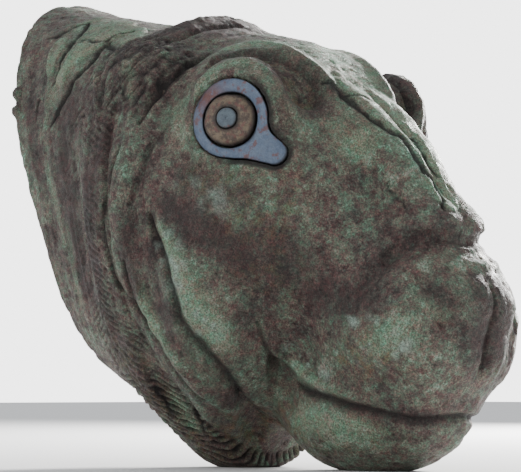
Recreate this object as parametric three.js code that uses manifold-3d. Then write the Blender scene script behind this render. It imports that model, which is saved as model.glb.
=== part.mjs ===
// A hollow cast lion head, life size, lying on its throat and chin.
// +X is the way the lion faces, +Y its left, +Z up, and z = 0 is the surface it lies on.
// Sizes along X are written from a point above the throat; the last lines centre the head.
// The head is one shell, open at the neck. Each eye is three inlays in a socket:
// a teardrop white, a domed iris and a round pupil.
import * as THREE from "three";
import Module from "manifold-3d";

// ---- driving dimensions, millimetres and degrees ----
const WALL = 5.5; // thickness of the cast shell
const MID_HEIGHT = 150; // height at which the leaning planes of the neck and ruff are measured
const RUFF_STATION = -40; // where the middle of the hair ruff lies along the head
const RUFF_HALF_WIDTH = 105.5;
const RUFF_HALF_HEIGHT = 148;
const RUFF_MIDDLE = 144; // its lowest part runs under z = 0 and is cut flat there, to rest on
const RUFF_LEAN = 0.157; // the ruff leans back this much for each unit of height
const RUFF_FORWARD = 26; // and its top comes forward again by this much
const RUFF_TAPER = 0.2; // how much narrower the ring is at the bottom
const RIM_STATION = -138; // the open edge of the neck
const RIM_HEIGHT = 190; // where the head's spine crosses the plane of the rim
const RIM_LEAN_DEGREES = 20;
const NECK_HALF_WIDTH = 94;
const NECK_HALF_HEIGHT = 129;
const NECK_RISE = 36; // from the ruff to the rim the neck's middle rises by this much
const NECK_NARROWING = 18; // and its half width shrinks by this much
const MUZZLE_LENGTH = 198; // from the origin to the front of the muzzle

const OUTER_ROWS = 50;
const OUTER_COLUMNS = 60;
const CAVITY_ROWS = 24;
const CAVITY_COLUMNS = 30;
const NECK_SHARE = 0.36; // share of the rows that lie behind the face
const SPINE_LENGTH = 148; // from the rim to where the rays begin to fan out into the face
const CAVITY_OVERSHOOT = 14; // how far the cavity runs out past the rim, to open it

const EYE = {
  centre: [59.5, 78, 208], // on the socket's axis, level with the skin, y on the left side
  normal: [0.5, 0.86, 0.1],
  socketDepth: 7.5,
  play: 0.8, // gap round an inlay
  bed: 0.3, // gap under an inlay
  whiteThickness: 6.2,
  irisRadius: 16,
  irisHeight: 13,
  irisBack: 2, // the iris sits this far back from the socket's axis
  pupilRadius: 6.2,
  pupilRise: 1.2,
  bossDepth: 15, // the wall is thicker behind the socket, by a lens of this depth
  bossRadius: 47,
};

const COLOURS = {
  metal: { color: 0x5b6155, roughness: 0.72, metalness: 0.35 },
  white: { color: 0x8e93b0, roughness: 0.6, metalness: 0 },
  iris: { color: 0x6e614f, roughness: 0.5, metalness: 0 },
  pupil: { color: 0x8a95a3, roughness: 0.5, metalness: 0 },
};

// ---- small maths ----
const clamp = (value, low, high) => Math.min(high, Math.max(low, value));
const radians = (degrees) => (degrees * Math.PI) / 180;

function smoothStep(from, to, value) {
  const share = clamp((value - from) / (to - from), 0, 1);
  return share * share * (3 - 2 * share);
}

function smoothUnion(a, b, blend) {
  const share = Math.max(blend - Math.abs(a - b), 0) / blend;
  return Math.min(a, b) - share * share * blend * 0.25;
}

const smoothCut = (a, b, blend) => -smoothUnion(-a, -b, blend);

// Distance to an ellipsoid, near enough by its surface. A tilt raises its front.
function ellipsoid([x, y, z], { centre: [cx, cy, cz], radii: [rx, ry, rz], tiltDegrees = 0 }) {
  const cos = Math.cos(radians(tiltDegrees));
  const sin = Math.sin(radians(tiltDegrees));
  const along = (x - cx) * cos + (z - cz) * sin;
  const up = -(x - cx) * sin + (z - cz) * cos;
  const scaled = Math.hypot(along / rx, (y - cy) / ry, up / rz);
  const slope = Math.hypot(along / rx ** 2, (y - cy) / ry ** 2, up / rz ** 2);
  return slope > 1e-9 ? (scaled * (scaled - 1)) / slope : -Math.min(rx, ry, rz);
}

// Distance to a rod with round ends that tapers from one [x, y, z, radius] to the next.
function taperedRod([x, y, z], [ax, ay, az, ar], [bx, by, bz, br]) {
  const [ex, ey, ez] = [bx - ax, by - ay, bz - az];
  const lengthSquared = ex * ex + ey * ey + ez * ez;
  const share = clamp(((x - ax) * ex + (y - ay) * ey + (z - az) * ez) / lengthSquared, 0, 1);
  const gap = Math.hypot(x - ax - ex * share, y - ay - ey * share, z - az - ez * share);
  return gap - (ar + (br - ar) * share);
}

function rodChain(point, stops) {
  let nearest = Infinity;
  for (let i = 1; i < stops.length; i += 1) {
    nearest = Math.min(nearest, taperedRod(point, stops[i - 1], stops[i]));
  }
  return nearest;
}

// ---- the head, as a signed distance that is negative inside the metal's outer skin ----

// The rounded masses that the head is built up from, for y of either sign.
const MASSES = {
  skull: { centre: [-6, 0, 163], radii: [121, 95, 107.5] },
  cheek: { centre: [14, 42, 112], radii: [64, 52, 78] },
  cheekRidge: { centre: [24, 56, 100], radii: [24, 40, 60] },
  throat: { centre: [-12, 0, 62], radii: [46, 58, 62] },
  muzzle: { centre: [132, 9, 82], radii: [58, 44, 44] },
  whiskerPad: { centre: [146, 22, 74], radii: [36, 29, 32] },
  lowerLipFront: { centre: [148, 6, 70], radii: [43, 35, 31] },
  upperLip: { centre: [157, 5, 96], radii: [MUZZLE_LENGTH - 157, 38, 23] },
  jaw: { centre: [101, 0, 41], radii: [72, 44, 44] },
  nose: { centre: [153, 6, 141], radii: [24, 22, 16] },
  brow: { centre: [48, 42, 226], radii: [38, 36, 24], tiltDegrees: -14 },
  eyeBulge: { centre: [44, 54, 206], radii: [34, 31, 34] },
  ear: { centre: [-32, 66, 236], radii: [36, 24, 28] }, // a leaf laid back against the ruff
};

// Rods with round ends, each a chain of [x, y, z, radius] stops.
const RODS = {
  face: [[5, 0, 140, 85], [138, 0, 112, 42]],
  bridge: [[62, 16, 227, 13], [98, 10, 206, 15.5], [128, 9, 179, 15], [152, 9, 150, 12]],
  gapBehindChin: [[30, 75, 30, 8], [42, 40, 8, 11], [46, 0, -2, 16]],
};

// Place along the head, measured in planes that lean back at the top, more so at the neck.
function stationOf(x, z) {
  const lean = RUFF_LEAN + 0.2 * clamp((RUFF_STATION - 5 - x) / 95, 0, 1.2);
  return x + lean * (z - MID_HEIGHT);
}

// The same as the ruff has it, whose top comes forward.
const ruffPlaceOf = (x, z) => stationOf(x, z) - RUFF_FORWARD * smoothStep(215, 285, z);

// An oval ring's section, narrower below its middle.
function oval(y, z, { middle, halfWidth, halfHeight, taper, power }) {
  const height = (z - middle) / halfHeight;
  const width = halfWidth * (1 - taper * clamp(-height, 0, 1.3));
  const ring = (Math.abs(y / width) ** power + Math.abs(height) ** power) ** (1 / power);
  return (ring - 1) * halfWidth;
}

function neckSleeve([x, y, z]) {
  const back = clamp((RUFF_STATION - stationOf(x, z)) / 96, -0.5, 1.2);
  const sleeve = oval(y, z, {
    middle: MID_HEIGHT + NECK_RISE * back,
    halfWidth: NECK_HALF_WIDTH - NECK_NARROWING * back,
    halfHeight: NECK_HALF_HEIGHT - 4 * back,
    taper: 0,
    power: 2.9 - 0.8 * clamp(back, 0, 1) * smoothStep(190, 250, z),
  });
  return smoothCut(sleeve, ruffPlaceOf(x, z) - (RUFF_STATION + 10), 8);
}

// The hair ruff and the smooth band in front of it: two folds that ring the face.
function ruffAndBand([x, y, z]) {
  const place = ruffPlaceOf(x, z);
  const forward = Math.max(place - RUFF_STATION, 0);
  const [upper, lower] = [smoothStep(150, 280, z), smoothStep(110, 40, z)];
  const ring = oval(y, z, {
    middle: RUFF_MIDDLE,
    halfWidth: RUFF_HALF_WIDTH,
    halfHeight: RUFF_HALF_HEIGHT - (6 + 0.5 * forward) * upper - 0.8 * lower,
    taper: RUFF_TAPER,
    power: 2.08 - 0.13 * lower,
  });
  const ruffEdge = -24 + 14 * lower;
  const high = smoothStep(165, 205, z) * smoothStep(275, 240, z);
  const bandEdge = 14 * high + 24 * lower - 34 * smoothStep(50, 10, z);
  const ruffBack = RUFF_STATION - 16;
  const band = Math.abs(place - (bandEdge + ruffBack) / 2) - (bandEdge - ruffBack) / 2;
  const grooves = 2.6 * Math.exp(-(((place - ruffEdge) / 2.6) ** 2))
    + 2.4 * Math.exp(-(((place - bandEdge) / 3.2) ** 2));
  const crest = 1.5 * Math.exp(-(((place - (ruffEdge + bandEdge) / 2) / 7) ** 2));
  return smoothCut(ring, band, 18) + grooves - crest;
}

function skullAndCheeks(point) {
  let form = ellipsoid(point, MASSES.skull);
  form = smoothUnion(form, rodChain(point, RODS.face), 40);
  form = smoothUnion(form, ellipsoid(point, MASSES.cheek), 22);
  form = smoothUnion(form, ellipsoid(point, MASSES.cheekRidge), 14);
  return smoothUnion(form, ellipsoid(point, MASSES.throat), 25);
}

function muzzleAndJaw(form, point) {
  let muzzle = ellipsoid(point, MASSES.muzzle);
  muzzle = smoothUnion(muzzle, ellipsoid(point, MASSES.whiskerPad), 12);
  muzzle = smoothUnion(muzzle, ellipsoid(point, MASSES.lowerLipFront), 8);
  muzzle = smoothUnion(muzzle, ellipsoid(point, MASSES.upperLip), 12);
  const face = smoothUnion(form, muzzle, 22);
  const withJaw = smoothUnion(face, ellipsoid(point, MASSES.jaw), 16);
  return smoothCut(withJaw, -rodChain(point, RODS.gapBehindChin), 12);
}

function noseAndBrow(form, point) {
  const bridge = smoothUnion(rodChain(point, RODS.bridge), ellipsoid(point, MASSES.nose), 9);
  const face = smoothUnion(smoothUnion(form, bridge, 9), ellipsoid(point, MASSES.brow), 18);
  return smoothUnion(face, ellipsoid(point, MASSES.eyeBulge), 14);
}

// Hollows and creases cut into the form, each a chain of [x, y, z, radius] stops and its blend.
const CARVINGS = [
  { name: "hollow under the brow", blend: 6,
    stops: [[38, 80, 246, 4], [48, 66, 256, 8], [66, 50, 257, 10], [86, 42, 244, 13], [94, 44, 228, 14]] },
  { name: "hollow of the ear", blend: 7, stops: [[-26, 98, 252, 8], [-22, 98, 236, 6]] },
  { name: "front edge of the ear", blend: 4, stops: [[8, 68, 257, 3], [0, 84, 236, 3], [-12, 93, 216, 3]] },
  { name: "nostril", blend: 7,
    stops: [[138, 56, 112, 5], [150, 44, 124, 5], [164, 33, 132, 5], [182, 19, 132, 3]] },
  { name: "corner of the mouth", blend: 7,
    stops: [[74, 78, 88, 3], [70, 71, 72, 4], [78, 62, 54, 8], [88, 58, 40, 7]] },
  { name: "line of the mouth", blend: 7,
    stops: [[78, 56, 58, 4], [112, 54, 44, 4], [146, 44, 36, 3], [172, 24, 31, 3], [182, 0, 31, 3]] },
  { name: "dip beside the nose pad", blend: 10,
    stops: [[172, 50, 120, 8], [186, 46, 100, 9], [196, 34, 82, 7]] },
  { name: "slit of the upper lip", blend: 6,
    stops: [[203, 0, 112, 2], [201, 0, 92, 2.5], [194, 0, 74, 2.5], [188, 0, 58, 2]] },
];

function carve(form, point) {
  return CARVINGS.reduce((cut, { stops, blend }) => smoothCut(cut, -rodChain(point, stops), blend), form);
}

// Both sides are alike, so the form is written once for y and -y.
function headSkin([x, side, z]) {
  const point = [x, Math.abs(side), z];
  let form = skullAndCheeks(point);
  form = smoothUnion(form, ruffAndBand(point), 7);
  form = muzzleAndJaw(form, point);
  form = noseAndBrow(form, point);
  form = smoothUnion(form, ellipsoid(point, MASSES.ear), 12);
  form = smoothUnion(form, neckSleeve(point), 9);
  form = carve(form, point);
  return smoothCut(form, -z, 1);
}

const eyeNormal = new THREE.Vector3(...EYE.normal).normalize();

// A lens of metal behind each socket, so that the wall stays whole there.
function socketBoss([x, side, z]) {
  const offset = new THREE.Vector3(x, Math.abs(side), z).sub(new THREE.Vector3(...EYE.centre));
  const along = offset.dot(eyeNormal);
  const across = Math.sqrt(Math.max(offset.lengthSq() - along * along, 0));
  return (Math.hypot(along / EYE.bossDepth, across / EYE.bossRadius) - 1) * EYE.bossDepth;
}

const cavitySkin = (point) => smoothCut(headSkin(point) + WALL, -socketBoss(point), 4);

// ---- from the distance to a closed mesh ----

// A ray out from the head's spine: share runs from the neck rim (0) to the muzzle (1),
// angle runs round the head from its left side, up and over.
function spineRay(share, angle) {
  const back = clamp(share / NECK_SHARE, 0, 1);
  const fan = (clamp((share - NECK_SHARE) / (1 - NECK_SHARE), 0, 1) * Math.PI) / 2;
  const lean = radians(RIM_LEAN_DEGREES * (1 - back));
  const forward = Math.sin(fan) ** 1.5;
  const origin = new THREE.Vector3(
    RIM_STATION + SPINE_LENGTH * back + 75 * forward, 0, RIM_HEIGHT - 45 * back - 45 * Math.sin(fan),
  );
  const round = new THREE.Vector3(
    -Math.sin(lean) * Math.sin(angle), Math.cos(angle), Math.cos(lean) * Math.sin(angle),
  );
  const tip = new THREE.Vector3(0.985, 0, -0.1).normalize();
  const direction = round.multiplyScalar(Math.cos(fan)).addScaledVector(tip, Math.sin(fan)).normalize();
  return { origin, direction };
}

// The furthest point along a ray that is still inside the skin, by steps and then by halving.
function hitSkin(skin, { origin, direction }) {
  const reach = 240;
  const step = 3;
  const at = (distance) => origin.clone().addScaledVector(direction, distance);
  let near = reach;
  while (near > 0 && skin(at(near).toArray()) > 0) near -= step;
  let far = near + step;
  for (let i = 0; i < 16; i += 1) {
    const middle = (near + far) / 2;
    if (skin(at(middle).toArray()) > 0) far = middle;
    else near = middle;
  }
  return at((near + far) / 2);
}

// Rings of points from the back to the front, closed by one point at each end.
function skinRings(skin, rows, columns) {
  const rings = [];
  for (let row = 0; row < rows; row += 1) {
    const ring = [];
    for (let column = 0; column < columns; column += 1) {
      ring.push(hitSkin(skin, spineRay(row / rows, (column / columns) * 2 * Math.PI)));
    }
    rings.push(ring);
  }
  return rings;
}

function closedMesh(rings, backPoint, frontPoint) {
  const columns = rings[0].length;
  const points = [...rings.flat(), backPoint, frontPoint];
  const [backIndex, frontIndex] = [points.length - 2, points.length - 1];
  const triangles = [];
  for (let column = 0; column < columns; column += 1) {
    const next = (column + 1) % columns;
    triangles.push(backIndex, next, column);
    for (let row = 0; row + 1 < rings.length; row += 1) {
      const [a, b] = [row * columns + column, row * columns + next];
      triangles.push(a, b, b + columns, a, b + columns, a + columns);
    }
    const last = (rings.length - 1) * columns;
    triangles.push(last + column, last + next, frontIndex);
  }
  return { points, triangles };
}

function outerSkinMesh() {
  const rings = skinRings(headSkin, OUTER_ROWS, OUTER_COLUMNS);
  return closedMesh(rings, spineRay(0, 0).origin, hitSkin(headSkin, spineRay(1, 0)));
}

function cavityMesh() {
  const rings = skinRings(cavitySkin, CAVITY_ROWS, CAVITY_COLUMNS);
  const lean = radians(RIM_LEAN_DEGREES);
  const outward = new THREE.Vector3(-Math.cos(lean), 0, -Math.sin(lean)).multiplyScalar(CAVITY_OVERSHOOT);
  rings.unshift(rings[0].map((point) => point.clone().add(outward)));
  const backPoint = spineRay(0, 0).origin.add(outward);
  return closedMesh(rings, backPoint, hitSkin(cavitySkin, spineRay(1, 0)));
}

// ---- joining and cutting ----
const wasm = await Module();
wasm.setup();

function toSolid({ points, triangles }) {
  const vertProperties = new Float32Array(points.flatMap((point) => point.toArray()));
  const triVerts = new Uint32Array(triangles);
  return new wasm.Manifold(new wasm.Mesh({ numProp: 3, vertProperties, triVerts }));
}

function toGeometry(solid) {
  const { vertProperties, triVerts } = solid.getMesh();
  const geometry = new THREE.BufferGeometry();
  geometry.setAttribute("position", new THREE.BufferAttribute(new Float32Array(vertProperties), 3));
  geometry.setIndex(new THREE.BufferAttribute(new Uint32Array(triVerts), 1));
  geometry.computeVertexNormals();
  return geometry;
}

// ---- the eyes ----

// Flat distance to the teardrop outline: a disc with a tapering lobe at the inner corner.
// x runs toward the nose and y up, in the plane of the eye.
function teardrop(x, y) {
  const disc = Math.hypot(x + 3, y - 1.6) - 25.2;
  const lobe = taperedRod([x, y, 0], [8, -11, 0, 13.5], [25.5, -20, 0, 8.4]);
  return smoothUnion(disc, lobe, 6);
}

function teardropOutline(grow, count, mirror) {
  const outline = [];
  for (let i = 0; i < count; i += 1) {
    const angle = (i / count) * 2 * Math.PI;
    let [near, far] = [0, 60];
    for (let turn = 0; turn < 24; turn += 1) {
      const middle = (near + far) / 2;
      if (teardrop(middle * Math.cos(angle), middle * Math.sin(angle)) > grow) far = middle;
      else near = middle;
    }
    outline.push(new THREE.Vector2(mirror * near * Math.cos(angle), near * Math.sin(angle)));
  }
  return outline;
}

// A straight-sided block on an outline, from one height to another, with an optional round hole.
function block(outline, bottom, top, holeRadius = 0, holeCentre = [0, 0]) {
  const shape = new THREE.Shape(outline);
  if (holeRadius > 0) {
    const hole = new THREE.Path();
    hole.absarc(...holeCentre, holeRadius, 0, 2 * Math.PI);
    shape.holes.push(new THREE.Path(hole.getPoints(28).slice(0, -1)));
  }
  const geometry = new THREE.ExtrudeGeometry(shape, { depth: top - bottom, bevelEnabled: false, steps: 1 });
  return geometry.translate(0, 0, bottom);
}

// Places an eye's own frame, x toward the nose on the right side and away from it on the left.
function eyeMatrix(side) {
  const normal = new THREE.Vector3(eyeNormal.x, side * eyeNormal.y, eyeNormal.z);
  const across = new THREE.Vector3(0, 0, 1).cross(normal).normalize();
  const up = normal.clone().cross(across);
  const centre = new THREE.Vector3(EYE.centre[0], side * EYE.centre[1], EYE.centre[2]);
  return new THREE.Matrix4().makeBasis(across, up, normal).setPosition(centre);
}

const mirrorFor = (side) => (side < 0 ? 1 : -1);
const irisX = (side) => -EYE.irisBack * mirrorFor(side);

function socketCutter(side) {
  const outline = teardropOutline(0, 44, mirrorFor(side));
  const count = outline.length;
  const matrix = eyeMatrix(side);
  const ring = (height) => outline.map((p) => new THREE.Vector3(p.x, p.y, height).applyMatrix4(matrix));
  const middle = (height) => new THREE.Vector3(0, 0, height).applyMatrix4(matrix);
  const [floor, outside] = [-EYE.socketDepth, 40];
  const points = [...ring(floor), ...ring(outside), middle(floor), middle(outside)];
  const triangles = [];
  for (let i = 0; i < count; i += 1) {
    const next = (i + 1) % count;
    const sides = [i, next, count + next, i, count + next, count + i, 2 * count, next, i,
      2 * count + 1, count + i, count + next];
    triangles.push(...(side < 0 ? sides : sides.toReversed()));
  }
  return toSolid({ points, triangles });
}

function whiteGeometry(side) {
  const bottom = EYE.bed - EYE.socketDepth;
  const outline = teardropOutline(-EYE.play, 44, mirrorFor(side));
  return block(outline, bottom, bottom + EYE.whiteThickness, EYE.irisRadius + EYE.play, [irisX(side), 0]);
}

// A dome with a round flat well in it for the pupil.
function irisProfile() {
  const bottom = EYE.bed - EYE.socketDepth;
  const wellRadius = EYE.pupilRadius + 0.5;
  const profile = [new THREE.Vector2(0, bottom), new THREE.Vector2(EYE.irisRadius, bottom)];
  const shoulder = bottom + EYE.irisHeight * 0.45;
  const rings = 4;
  for (let i = 0; i <= rings; i += 1) {
    const angle = (i / rings) * Math.acos(wellRadius / EYE.irisRadius);
    const height = shoulder + EYE.irisHeight * 0.6 * Math.sin(angle);
    profile.push(new THREE.Vector2(EYE.irisRadius * Math.cos(angle), height));
  }
  const crown = profile.at(-1).y;
  profile.push(new THREE.Vector2(wellRadius, crown - 2), new THREE.Vector2(0, crown - 2));
  return profile;
}

const IRIS_WELL = irisProfile().at(-1).y;

// A lathe turns about Y, so it is stood up along the eye's own axis.
function turned(profile, segments) {
  return new THREE.LatheGeometry(profile, segments).rotateX(Math.PI / 2);
}

function pupilProfile() {
  const bottom = IRIS_WELL + EYE.bed;
  const top = bottom + 2 + EYE.pupilRise;
  return [
    new THREE.Vector2(0, bottom), new THREE.Vector2(EYE.pupilRadius, bottom),
    new THREE.Vector2(EYE.pupilRadius, top - 1), new THREE.Vector2(EYE.pupilRadius * 0.6, top - 0.2),
    new THREE.Vector2(0, top),
  ];
}

function namedMesh(name, geometry, finish) {
  const mesh = new THREE.Mesh(geometry, new THREE.MeshStandardMaterial(finish));
  mesh.name = name;
  return mesh;
}

function eyeGroup(side, prefix) {
  const group = new THREE.Group();
  const white = namedMesh(`${prefix}_eye_white`, whiteGeometry(side), COLOURS.white);
  const iris = namedMesh(`${prefix}_eye_iris`, turned(irisProfile(), 26), COLOURS.iris);
  const pupil = namedMesh(`${prefix}_eye_pupil`, turned(pupilProfile(), 18), COLOURS.pupil);
  iris.position.set(irisX(side), 0, 0);
  pupil.position.set(irisX(side), 0, 0);
  group.add(white, iris, pupil);
  group.applyMatrix4(eyeMatrix(side));
  return group;
}

function headGeometry() {
  let solid = toSolid(outerSkinMesh()).subtract(toSolid(cavityMesh()));
  for (const side of [-1, 1]) solid = solid.subtract(socketCutter(side));
  return toGeometry(solid);
}

const head = new THREE.Group();
head.add(namedMesh("lion_head", headGeometry(), COLOURS.metal));
head.add(eyeGroup(-1, "right"), eyeGroup(1, "left"));

// The origin is moved to the middle of the underside of the box round the head.
head.position.x = -new THREE.Box3().setFromObject(head).getCenter(new THREE.Vector3()).x;

export default head;
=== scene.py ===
"""Looks of a hollow cast lion head: corroded copper alloy with inlaid stone eyes.

The head's form is a signed distance, negative inside the metal: ellipsoids and tapering rods
joined and cut with soft edges. Rays from a spine inside the head find its skin on a grid of
rows (neck rim to muzzle) and columns (round the head), and fine relief is laid on that grid.
Sizes are in millimetres until the meshes are made, which are in metres.
"""
import logging
import math
from collections.abc import Callable
from dataclasses import dataclass, field
from enum import Enum
from typing import Union

import bpy
import numpy as np
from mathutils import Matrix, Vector


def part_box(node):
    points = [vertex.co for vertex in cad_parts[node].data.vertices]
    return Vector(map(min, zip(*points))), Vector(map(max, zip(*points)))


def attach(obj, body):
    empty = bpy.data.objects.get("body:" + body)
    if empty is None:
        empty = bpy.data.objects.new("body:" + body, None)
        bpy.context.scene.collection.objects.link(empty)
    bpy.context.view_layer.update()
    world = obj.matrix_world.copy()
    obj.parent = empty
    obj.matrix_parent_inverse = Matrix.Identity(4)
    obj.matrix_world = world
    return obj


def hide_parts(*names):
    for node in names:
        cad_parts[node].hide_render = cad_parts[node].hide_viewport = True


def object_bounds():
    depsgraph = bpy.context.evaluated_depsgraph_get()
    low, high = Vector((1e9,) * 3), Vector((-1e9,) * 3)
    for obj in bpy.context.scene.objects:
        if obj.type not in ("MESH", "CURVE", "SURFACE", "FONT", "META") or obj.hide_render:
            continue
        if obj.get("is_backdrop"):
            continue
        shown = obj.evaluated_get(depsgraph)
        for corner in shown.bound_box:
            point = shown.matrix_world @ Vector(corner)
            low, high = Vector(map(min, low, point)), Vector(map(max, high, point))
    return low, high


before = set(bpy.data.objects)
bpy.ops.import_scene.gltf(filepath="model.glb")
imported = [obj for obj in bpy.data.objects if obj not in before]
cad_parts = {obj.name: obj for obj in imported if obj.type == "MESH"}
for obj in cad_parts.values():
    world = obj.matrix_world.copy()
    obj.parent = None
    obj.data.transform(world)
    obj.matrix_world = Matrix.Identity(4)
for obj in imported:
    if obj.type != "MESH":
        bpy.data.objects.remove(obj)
CAD_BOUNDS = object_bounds()

log = logging.getLogger("lion_head")

METRE = 0.001  # one millimetre in metres
TURN = 2.0 * math.pi
UP = np.array([0.0, 0.0, 1.0])
FAR_GAP = 9.0  # gap, in half widths, of a point that a trail doesn't reach

Distance = Callable[[np.ndarray], np.ndarray]  # points, one a row, to signed distances
Input = Union[bpy.types.NodeSocket, float, tuple]  # what a node's input may be given


class Side(Enum):
    """The two sides of the head, with the sign that y has there."""

    RIGHT = -1
    LEFT = 1


# ---- shapes as distances ----

def smooth_step(low: float, high: float, value: np.ndarray) -> np.ndarray:
    """Rise from 0 at low to 1 at high, with level ends.

    Args:
        low: Value at which the rise starts.
        high: Value at which it ends.
        value: Where to read it.

    Returns:
        The rise, 3 t^2 - 2 t^3 of the share t.
    """
    share = np.clip((value - low) / (high - low), 0.0, 1.0)
    return share * share * (3.0 - 2.0 * share)


def soft_join(first: np.ndarray, second: np.ndarray, blend: float) -> np.ndarray:
    """Join two distances with a fillet.

    Args:
        first: One distance.
        second: The other.
        blend: Width of the fillet.

    Returns:
        The smaller distance, lowered by a quarter of the squared overlap in the fillet.
    """
    share = np.maximum(blend - np.abs(first - second), 0.0) / blend
    return np.minimum(first, second) - share * share * blend * 0.25


def soft_cut(form: np.ndarray, keep: np.ndarray, blend: float) -> np.ndarray:
    """Keep the part of a form that is also inside another, with a rounded edge.

    Args:
        form: Distance of the form.
        keep: Distance of what it is kept inside; the negative of a tool's distance cuts it away.
        blend: Width of the rounding.

    Returns:
        The cut form's distance.
    """
    return -soft_join(-form, -keep, blend)


def ellipsoid(points: np.ndarray, centre: tuple, radii: tuple,
              tilt_degrees: float = 0.0) -> np.ndarray:
    """Distance to an ellipsoid, near enough by its surface.

    Args:
        points: Places to measure, one a row.
        centre: Its middle.
        radii: Its three half sizes.
        tilt_degrees: How far its front is raised.

    Returns:
        k (k - 1) / g, with k the scaled distance from the middle and g its slope.
    """
    turn = math.radians(tilt_degrees)
    x, y, z = (points - np.array(centre)).T
    along = x * math.cos(turn) + z * math.sin(turn)
    up = z * math.cos(turn) - x * math.sin(turn)
    length, width, height = radii
    scaled = np.sqrt((along / length) ** 2 + (y / width) ** 2 + (up / height) ** 2)
    slope = np.sqrt((along / length ** 2) ** 2 + (y / width ** 2) ** 2 + (up / height ** 2) ** 2)
    return scaled * (scaled - 1.0) / np.maximum(slope, 1e-9)


def tapered_rod(points: np.ndarray, start: tuple, end: tuple) -> np.ndarray:
    """Distance to a round-ended rod between two (x, y, z, radius) stops.

    Args:
        points: Places to measure, one a row.
        start: First stop.
        end: Second stop.

    Returns:
        Distance to the nearest place on the line, less the radius there.
    """
    base, tip = np.array(start[:3]), np.array(end[:3])
    line = tip - base
    share = np.clip((points - base) @ line / (line @ line), 0.0, 1.0)
    gap = np.linalg.norm(points - base - share[:, None] * line, axis=1)
    return gap - (start[3] + (end[3] - start[3]) * share)


def rod_chain(points: np.ndarray, stops: tuple) -> np.ndarray:
    """Distance to the nearest of the rods that join a row of stops."""
    rods = [tapered_rod(points, first, second) for first, second in zip(stops[:-1], stops[1:])]
    return np.minimum.reduce(rods)


def turned_left(points: np.ndarray) -> np.ndarray:
    """Mirror the points of the right side to the left, where y is not negative."""
    return np.abs(points * (0, 1, 0)) + points * (1, 0, 1)


def circle_points(radius: float, angle: np.ndarray) -> np.ndarray:
    """Points of a flat circle, one a row, for reading noise that closes on itself."""
    return np.stack([radius * np.cos(angle), radius * np.sin(angle), 0 * angle], axis=1)


# ---- smooth noise ----

@dataclass(frozen=True)
class Noise:
    """Seeded smooth noise in space, about -1 to 1."""

    seed: int
    cells: int = 32

    def lattice(self) -> np.ndarray:
        """Return the random values at the corners of the cells."""
        return np.random.default_rng(self.seed).uniform(-1.0, 1.0, (self.cells,) * 3)

    def read(self, points: np.ndarray, size: float) -> np.ndarray:
        """Blend the corner values of the cell that each point is in.

        Args:
            points: Places to read, one a row.
            size: Width of a cell.

        Returns:
            The noise, blended along each axis with 3 t^2 - 2 t^3.
        """
        values = self.lattice()
        place = points / size + 0.37 * self.seed
        corner = np.floor(place).astype(int)
        share = smooth_step(0.0, 1.0, place - corner)
        total = np.zeros(len(points))
        for step in np.ndindex(2, 2, 2):
            picked = (corner + np.array(step)) % self.cells
            weight = np.prod(np.where(np.array(step) == 1, share, 1.0 - share), axis=1)
            total += weight * values[picked[:, 0], picked[:, 1], picked[:, 2]]
        return total

    def layered(self, points: np.ndarray, size: float, layers: int) -> np.ndarray:
        """Sum noise of halving size and halving strength."""
        return sum(self.read(points + 17.0 * step, size / 2 ** step) / 2 ** step
                   for step in range(layers))


# ---- the form of the head ----

@dataclass(frozen=True)
class Carving:
    """A hollow or crease cut into the form, with (x, y, z, radius) stops and a rounded edge."""

    name: str
    stops: tuple
    blend: float


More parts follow.
